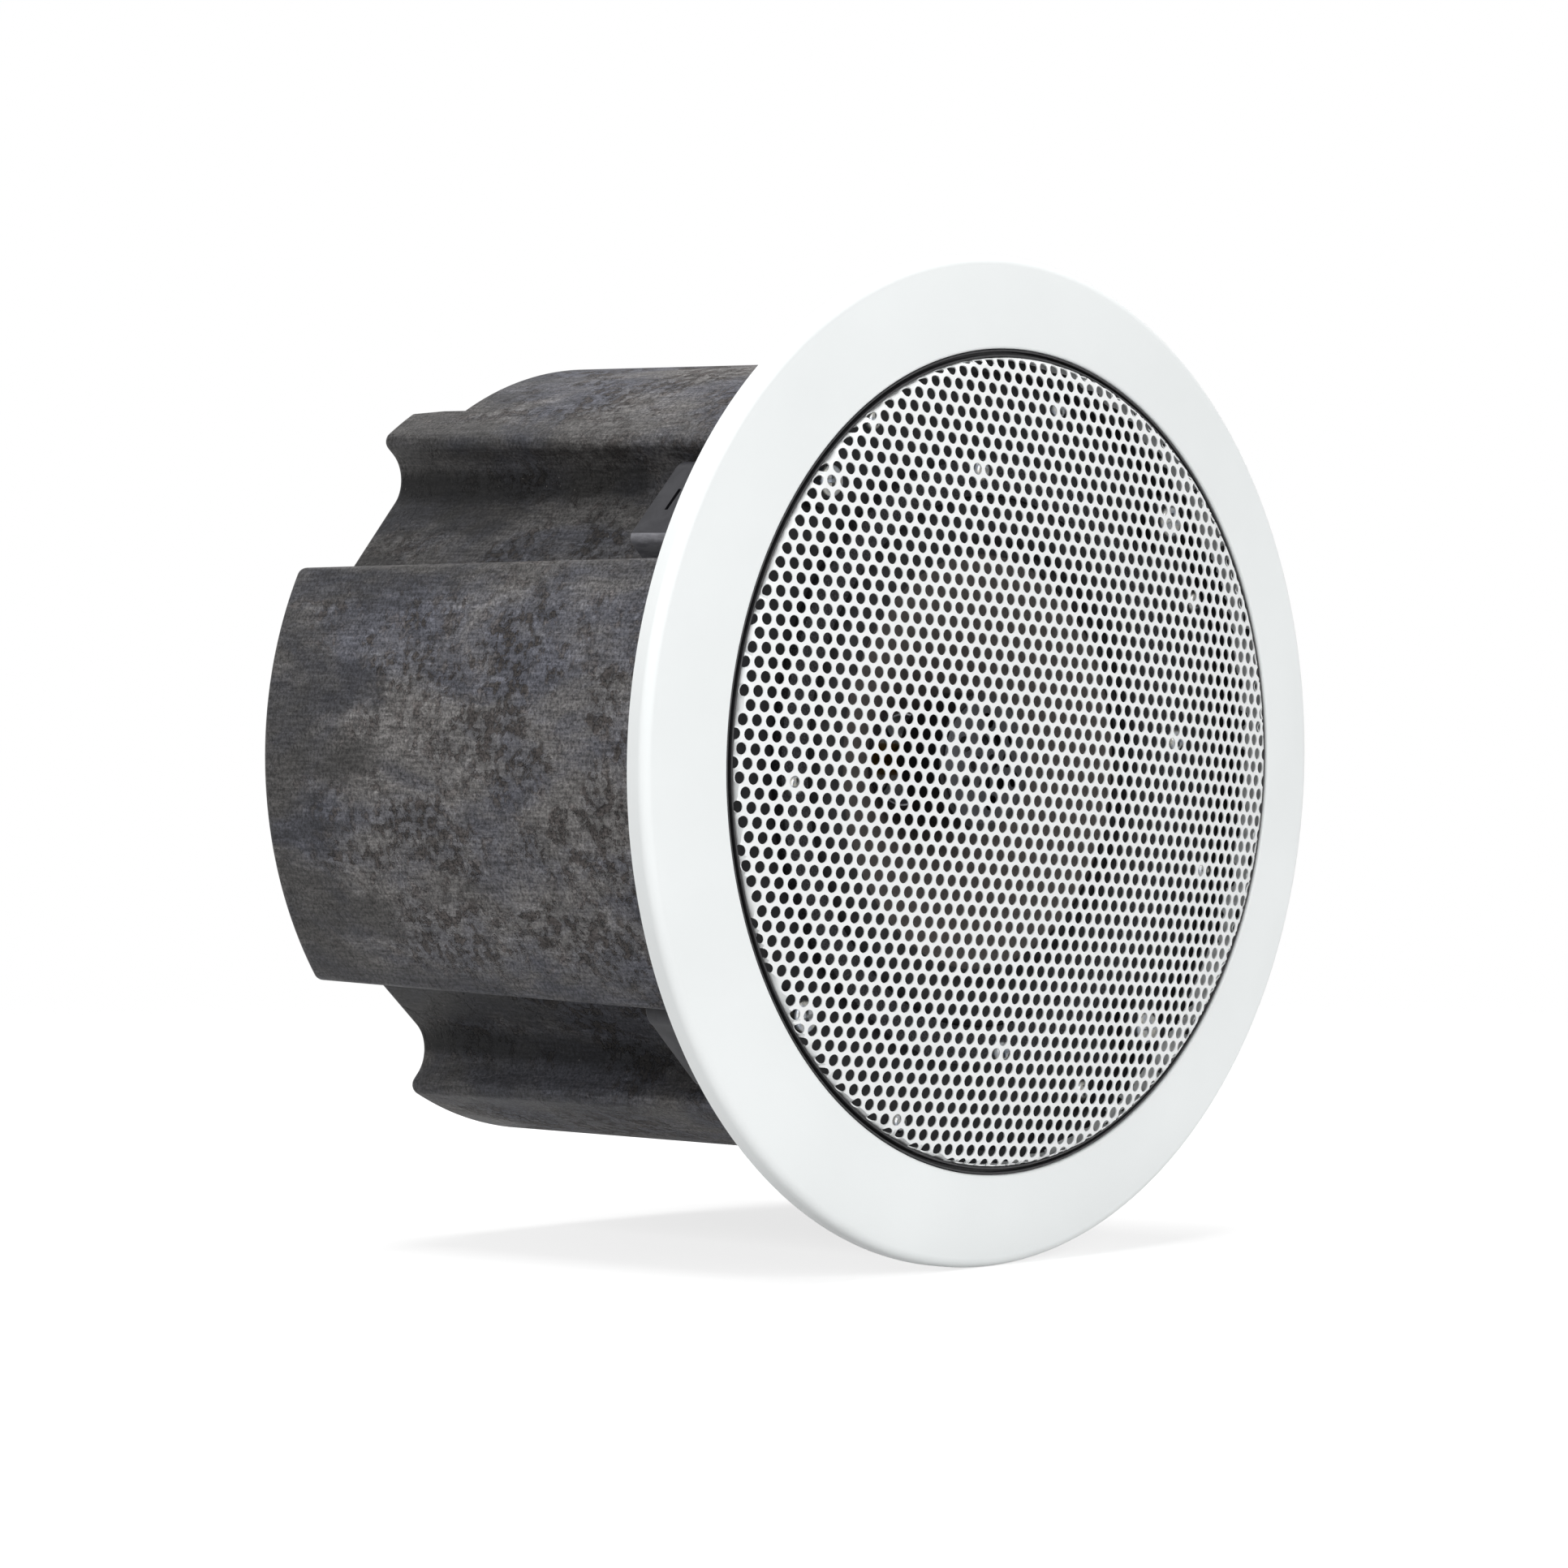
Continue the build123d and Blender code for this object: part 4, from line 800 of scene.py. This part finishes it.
# Trim flange: the white ring that is left to see in the room, a satin moulding with a sloped face.
# Its back is hollow, with ribs across the hollow and bosses for the screws that hold it to the baffle.
opening_r = 114.0
flange_r = 140.0
flange_rim = 7.0
flange_round = 3.0
flange_rise = 12.2
flange_lip = 0.8
flange_wall = 3.0
hollow_in = 117.0
hollow_out = 137.0
rib_count = 16
rib_half = 1.0
rib_in = 116.0
rib_out = 138.0
rib_back = -3.0
boss_r = 3.6
joint_sunk = 1.0
trim_screw_r = 118.5
trim_screw_seat = 4.0
trim_screw_turns = [radians(22.5 + 45 * i) for i in range(8)]


def arc(middle, r, start, end, steps):
    """Points on an arc, with its angles in degrees."""
    turns = [radians(start + (end - start) * i / steps) for i in range(steps + 1)]
    return [(middle[0] + r * cos(t), middle[1] + r * sin(t)) for t in turns]


def turned(name, line, steps=256, sharp=32.0):
    """A ring with the closed line of (radius, depth) points as its section."""
    n = len(line)
    points = []
    faces = []
    for i in range(steps):
        a = 2 * pi * i / steps
        points.extend((r * cos(a), y, r * sin(a)) for r, y in line)
        for j in range(n):
            here = i * n + j
            beside = i * n + (j + 1) % n
            ahead = (i + 1) % steps * n
            faces.append((here, beside, ahead + (j + 1) % n, ahead + j))
    return piece(name, points, faces, sharp)


slope = (flange_rise - flange_rim) / (flange_r - flange_round - opening_r - flange_lip)
deep_out = flange_rim - flange_wall
deep_in = deep_out + slope * (hollow_out - hollow_in)
flange_line = [(hollow_out, 0.0), (flange_r - 0.4, 0.0), (flange_r, -0.4)]
flange_line += arc((flange_r - flange_round, flange_round - flange_rim), flange_round, 0, -90, 16)
flange_line += arc((opening_r + flange_lip, flange_lip - flange_rise), flange_lip, -90, -180, 10)
flange_line += [(opening_r, -0.3), (opening_r + 0.3, 0.0), (hollow_in, 0.0)]
flange_line += [(hollow_in, -deep_in), (hollow_out, -deep_out)]
trim_flange = turned("trim_flange_ring", flange_line, 320)
rib_line = [(rib_in, rib_back), (rib_out, rib_back)]
rib_line += [(rib_out, -deep_out - joint_sunk), (rib_in, -deep_in - joint_sunk)]
for i in range(rib_count):
    a = 2 * pi * i / rib_count
    rings = [[swung(a, d, s, y) for d, y in rib_line] for s in (-rib_half, rib_half)]
    join(trim_flange, loft("rib", rings), "UNION")
boss_y = (-deep_in - joint_sunk, 0.0)
for a in trim_screw_turns:
    boss = rod("boss", trim_screw_r * cos(a), trim_screw_r * sin(a), boss_r, boss_y)
    join(trim_flange, boss, "UNION")

satin_white = finish("satin_white", tone(240, 243, 243), 0.42, gleam=0.2)
spot = place(satin_white)
shade = rise(satin_white, cloud(satin_white, spot, 60, 2, 0.5), 0.3, 0.7)
wire(satin_white, "Base Color", layer(satin_white, shade, tone(238, 241, 241), tone(242, 245, 245)))
wire(satin_white, "Normal", bump(satin_white, cloud(satin_white, spot, 1.1, 2, 0.5), 0.012))
fit(trim_flange, satin_white, "white_satin", "trim_flange")
dress(grey_foam, "ceiling_gasket")
trim_screw = pan_screw("trim_screw", head_r=3.0, head_h=2.25, shank_r=1.5, length=10.6)
spots = [(trim_screw_r * cos(a), trim_screw_seat, trim_screw_r * sin(a)) for a in trim_screw_turns]
fit(set_out("trim_fixings", trim_screw, spots, True), zinc_steel, "zinc_steel", "trim_screws")

# Seal ring: a black rubber strip of U section, pushed into the gap between the grille and the flange.
# Its outer lip stands a little below the flange's edge and its inner lip bears on the grille's hem.
seal_out = 113.8
seal_in = 111.7
seal_base = -5.2
lip_w = 0.65
lip_out = -11.7
lip_in = -12.1
groove_end = -9.3
seal_line = [(seal_in, seal_base), (seal_out, seal_base)]
seal_line += arc((seal_out - lip_w / 2, lip_out + lip_w / 2), lip_w / 2, 0, -180, 10)
seal_line += [(seal_out - lip_w, groove_end), (seal_in + lip_w, groove_end)]
seal_line += arc((seal_in + lip_w / 2, lip_in + lip_w / 2), lip_w / 2, 0, -180, 10)
grille_seal = turned("seal_ring", seal_line)
seal_rubber = finish("seal_rubber", tone(38, 38, 40), 0.5)
spot = place(seal_rubber)
dust = rise(seal_rubber, cloud(seal_rubber, spot, 2.2, 4, 0.6), 0.45, 0.75)
wire(seal_rubber, "Base Color", layer(seal_rubber, dust, tone(34, 34, 36), tone(52, 52, 54)))
wire(seal_rubber, "Normal", bump(seal_rubber, cloud(seal_rubber, spot, 0.4, 2, 0.5), 0.01))
fit(grille_seal, seal_rubber, "black_rubber", "grille_seal")

# Grille: a shallow dome of perforated steel sheet with a turned-back hem, powder coated white.
# The round holes stand in a hexagonal pattern that runs over the bend and is cut off by the hem.
grille_r = 111.5
grille_crown = -26.1
grille_sphere = 495.8
sheet_t = 0.35
hem_round = 1.6
hem_end = -5.2
hole_r = 1.67
hole_pitch = 4.5
hole_sides = 16
row_turn = -7.75
first_hole = (-30.33, 1.28)
hole_rows = 60
hole_end = 0.4
cell_end = 0.5

bend_r = grille_r - hem_round
bend_turn = asin(bend_r / (grille_sphere - hem_round))
bend_y = grille_crown + grille_sphere - sqrt((grille_sphere - hem_round) ** 2 - bend_r ** 2)
dome_reach = grille_sphere * bend_turn
bend_reach = dome_reach + hem_round * (pi / 2 - bend_turn)
hem_reach = bend_reach + hem_end - bend_y


def on_grille(x, z, depth):
    """Where a point of the flat punched sheet lies on the formed grille, depth below its face."""
    flat = hypot(x, z)
    if flat > hem_reach:
        x, z, flat = x * hem_reach / flat, z * hem_reach / flat, hem_reach
    if flat < dome_reach:
        turn = flat / grille_sphere
        r = (grille_sphere - depth) * sin(turn)
        y = grille_crown + grille_sphere - (grille_sphere - depth) * cos(turn)
    elif flat < bend_reach:
        turn = bend_turn + (flat - dome_reach) / hem_round
        r = bend_r + (hem_round - depth) * sin(turn)
        y = bend_y - (hem_round - depth) * cos(turn)
    else:
        r = grille_r - depth
        y = bend_y + flat - bend_reach
    if flat < 1e-9:
        return (0.0, y, 0.0)
    return (r * x / flat, y, r * z / flat)


corner_turns = [radians(row_turn + 30 + 60 * i) for i in range(6)]
corner_out = hole_pitch / sqrt(3)
row_step = (hole_pitch * cos(radians(row_turn)), hole_pitch * sin(radians(row_turn)))
next_step = (hole_pitch * cos(radians(row_turn - 60)), hole_pitch * sin(radians(row_turn - 60)))
sheet_points = []
sheet_faces = []
corner_at = {}


def corner(x, z):
    """The pair of points, on the face and the back, of a corner between three holes."""
    key = (round(x, 3), round(z, 3))
    if key not in corner_at:
        corner_at[key] = len(sheet_points)
        sheet_points.append(on_grille(x, z, 0.0))
        sheet_points.append(on_grille(x, z, sheet_t))
    return corner_at[key]


cell_edges = {}
for a in range(-hole_rows, hole_rows + 1):
    for b in range(-hole_rows, hole_rows + 1):
        mid_x = first_hole[0] + a * row_step[0] + b * next_step[0]
        mid_z = first_hole[1] + a * row_step[1] + b * next_step[1]
        flat = hypot(mid_x, mid_z)
        if flat > hem_reach - cell_end:
            continue
        ring = [corner(mid_x + corner_out * cos(t), mid_z + corner_out * sin(t)) for t in corner_turns]
        for i in range(6):
            cell_edges[(ring[i], ring[(i + 1) % 6])] = True
        if flat > bend_reach + hole_end:
            sheet_faces.append(tuple(ring))
            sheet_faces.append(tuple(c + 1 for c in ring[::-1]))
            continue
        start = len(sheet_points)
        for i in range(hole_sides):
            t = corner_turns[0] + 2 * pi * i / hole_sides
            edge = (mid_x + hole_r * cos(t), mid_z + hole_r * sin(t))
            sheet_points.append(on_grille(*edge, 0.0))
            sheet_points.append(on_grille(*edge, sheet_t))
        for i in range(6):
            first = round(hole_sides * i / 6)
            last = round(hole_sides * (i + 1) / 6)
            rim = [start + 2 * (j % hole_sides) for j in range(last, first - 1, -1)]
            sheet_faces.append((ring[i], ring[(i + 1) % 6], *rim))
            sheet_faces.append((ring[(i + 1) % 6] + 1, ring[i] + 1, *[j + 1 for j in rim[::-1]]))
        for i in range(hole_sides):
            here = start + 2 * i
            ahead = start + 2 * ((i + 1) % hole_sides)
            sheet_faces.append((here, ahead, ahead + 1, here + 1))
for one, two in list(cell_edges):
    if (two, one) not in cell_edges:
        sheet_faces.append((two, one, one + 1, two + 1))
grille = piece("grille_sheet", sheet_points, sheet_faces, 40.0)
powder_white = finish("powder_white", tone(238, 240, 240), 0.45, gleam=0.3)
spot = place(powder_white)
wire(powder_white, "Normal", bump(powder_white, cloud(powder_white, spot, 0.35, 2, 0.5), 0.012))
shade = rise(powder_white, cloud(powder_white, spot, 40, 2, 0.5), 0.3, 0.7)
wire(powder_white, "Base Color", layer(powder_white, shade, tone(236, 238, 238), tone(240, 242, 242)))
fit(grille, powder_white, "white_powder", "grille")

# Room: a plain white floor under the flange's edge, and soft studio light from above, the front
# and the left. The floor leans a little under the speaker and thins out into the white room.
floor_lean = radians(3.1)
floor_drop = 0.1401
floor_half = 1.2
floor_back = 0.06
floor_glow = 0.74
floor_fade = (0.45, 1.1)
room_fill = 0.14


def in_sight(made):
    """1 for what the eye, a mirror or glass sees, and 0 for the light that falls on the speaker."""
    rays = add(made, "ShaderNodeLightPath", {}).outputs
    mirrored = reckon(made, "MAXIMUM", rays["Is Glossy Ray"], rays["Is Transmission Ray"])
    return reckon(made, "MAXIMUM", rays["Is Camera Ray"], mirrored)


floor_mesh = bpy.data.meshes.new("floor")
floor_corners = [(floor_half * x, floor_half * y, 0.0) for x, y in ((-1, -1), (1, -1), (1, 1), (-1, 1))]
floor_mesh.from_pydata(floor_corners, [], [(0, 1, 2, 3)])
ground = bpy.data.objects.new("floor", floor_mesh)
ground.rotation_euler = (0.0, floor_lean, 0.0)
ground.location = (-floor_drop * sin(floor_lean), floor_back, -floor_drop * cos(floor_lean))
bpy.context.scene.collection.objects.link(ground)
floor_white = finish("floor_white", tone(236, 236, 236), 0.9, gleam=0.0)
shown = in_sight(floor_white)
floor_shader = floor_white.node_tree.nodes["Principled BSDF"]
floor_shader.inputs["Emission Color"].default_value = (1, 1, 1, 1)
wire(floor_white, "Base Color", layer(floor_white, shown, (0.6, 0.6, 0.6, 1), (0.5, 0.5, 0.5, 1)))
wire(floor_white, "Emission Strength", both(floor_white, shown, floor_glow))
floor_spot = add(floor_white, "ShaderNodeTexCoord", {}).outputs["Object"]
floor_reach = add(floor_white, "ShaderNodeVectorMath", {0: floor_spot}, operation="LENGTH")
wire(floor_white, "Alpha", rise(floor_white, floor_reach.outputs["Value"], *floor_fade, 1.0, 0.0))
floor_mesh.materials.append(floor_white)

world = bpy.data.worlds.new("studio")
bpy.context.scene.world = world
world.use_nodes = True
sky = world.node_tree.nodes["Background"]
sky.inputs["Color"].default_value = (1, 1, 1, 1)
levels = {"Value": in_sight(world), "To Min": room_fill, "To Max": 1.0}
strength = add(world, "ShaderNodeMapRange", levels)
world.node_tree.links.new(strength.outputs[0], sky.inputs["Strength"])


def softbox(name, at, size, power):
    """A square soft light that points at the speaker."""
    lamp = bpy.data.lights.new(name, "AREA")
    lamp.shape = "SQUARE"
    lamp.size = size
    lamp.energy = power
    made = bpy.data.objects.new(name, lamp)
    made.location = at
    made.rotation_euler = (-Vector(at)).to_track_quat("-Z", "Y").to_euler()
    bpy.context.scene.collection.objects.link(made)


softbox("top_light", (-0.2, 0.0, 2.4), 1.6, 46)
softbox("front_light", (-0.3, -3.0, 0.9), 2.0, 64)
softbox("left_light", (-2.4, 0.3, 1.3), 1.2, 28)

view_right = Vector((0.675590, -0.736369, -0.036589))
view_up = Vector((0.078645, 0.022633, 0.996646))
view_back = Vector((-0.733071, -0.676202, 0.073202))
view_at = Vector((-1.397354, -1.216203, 0.131598))
lens = bpy.data.cameras.new("camera")
lens.sensor_width = 36.0
lens.lens = 153.749
lens.clip_end = 50.0
camera = bpy.data.objects.new("camera", lens)
camera.matrix_world = Matrix((
    (view_right.x, view_up.x, view_back.x, view_at.x),
    (view_right.y, view_up.y, view_back.y, view_at.y),
    (view_right.z, view_up.z, view_back.z, view_at.z),
    (0, 0, 0, 1),
))
bpy.context.scene.collection.objects.link(camera)
bpy.context.scene.camera = camera
bpy.context.scene.view_settings.view_transform = "Standard"
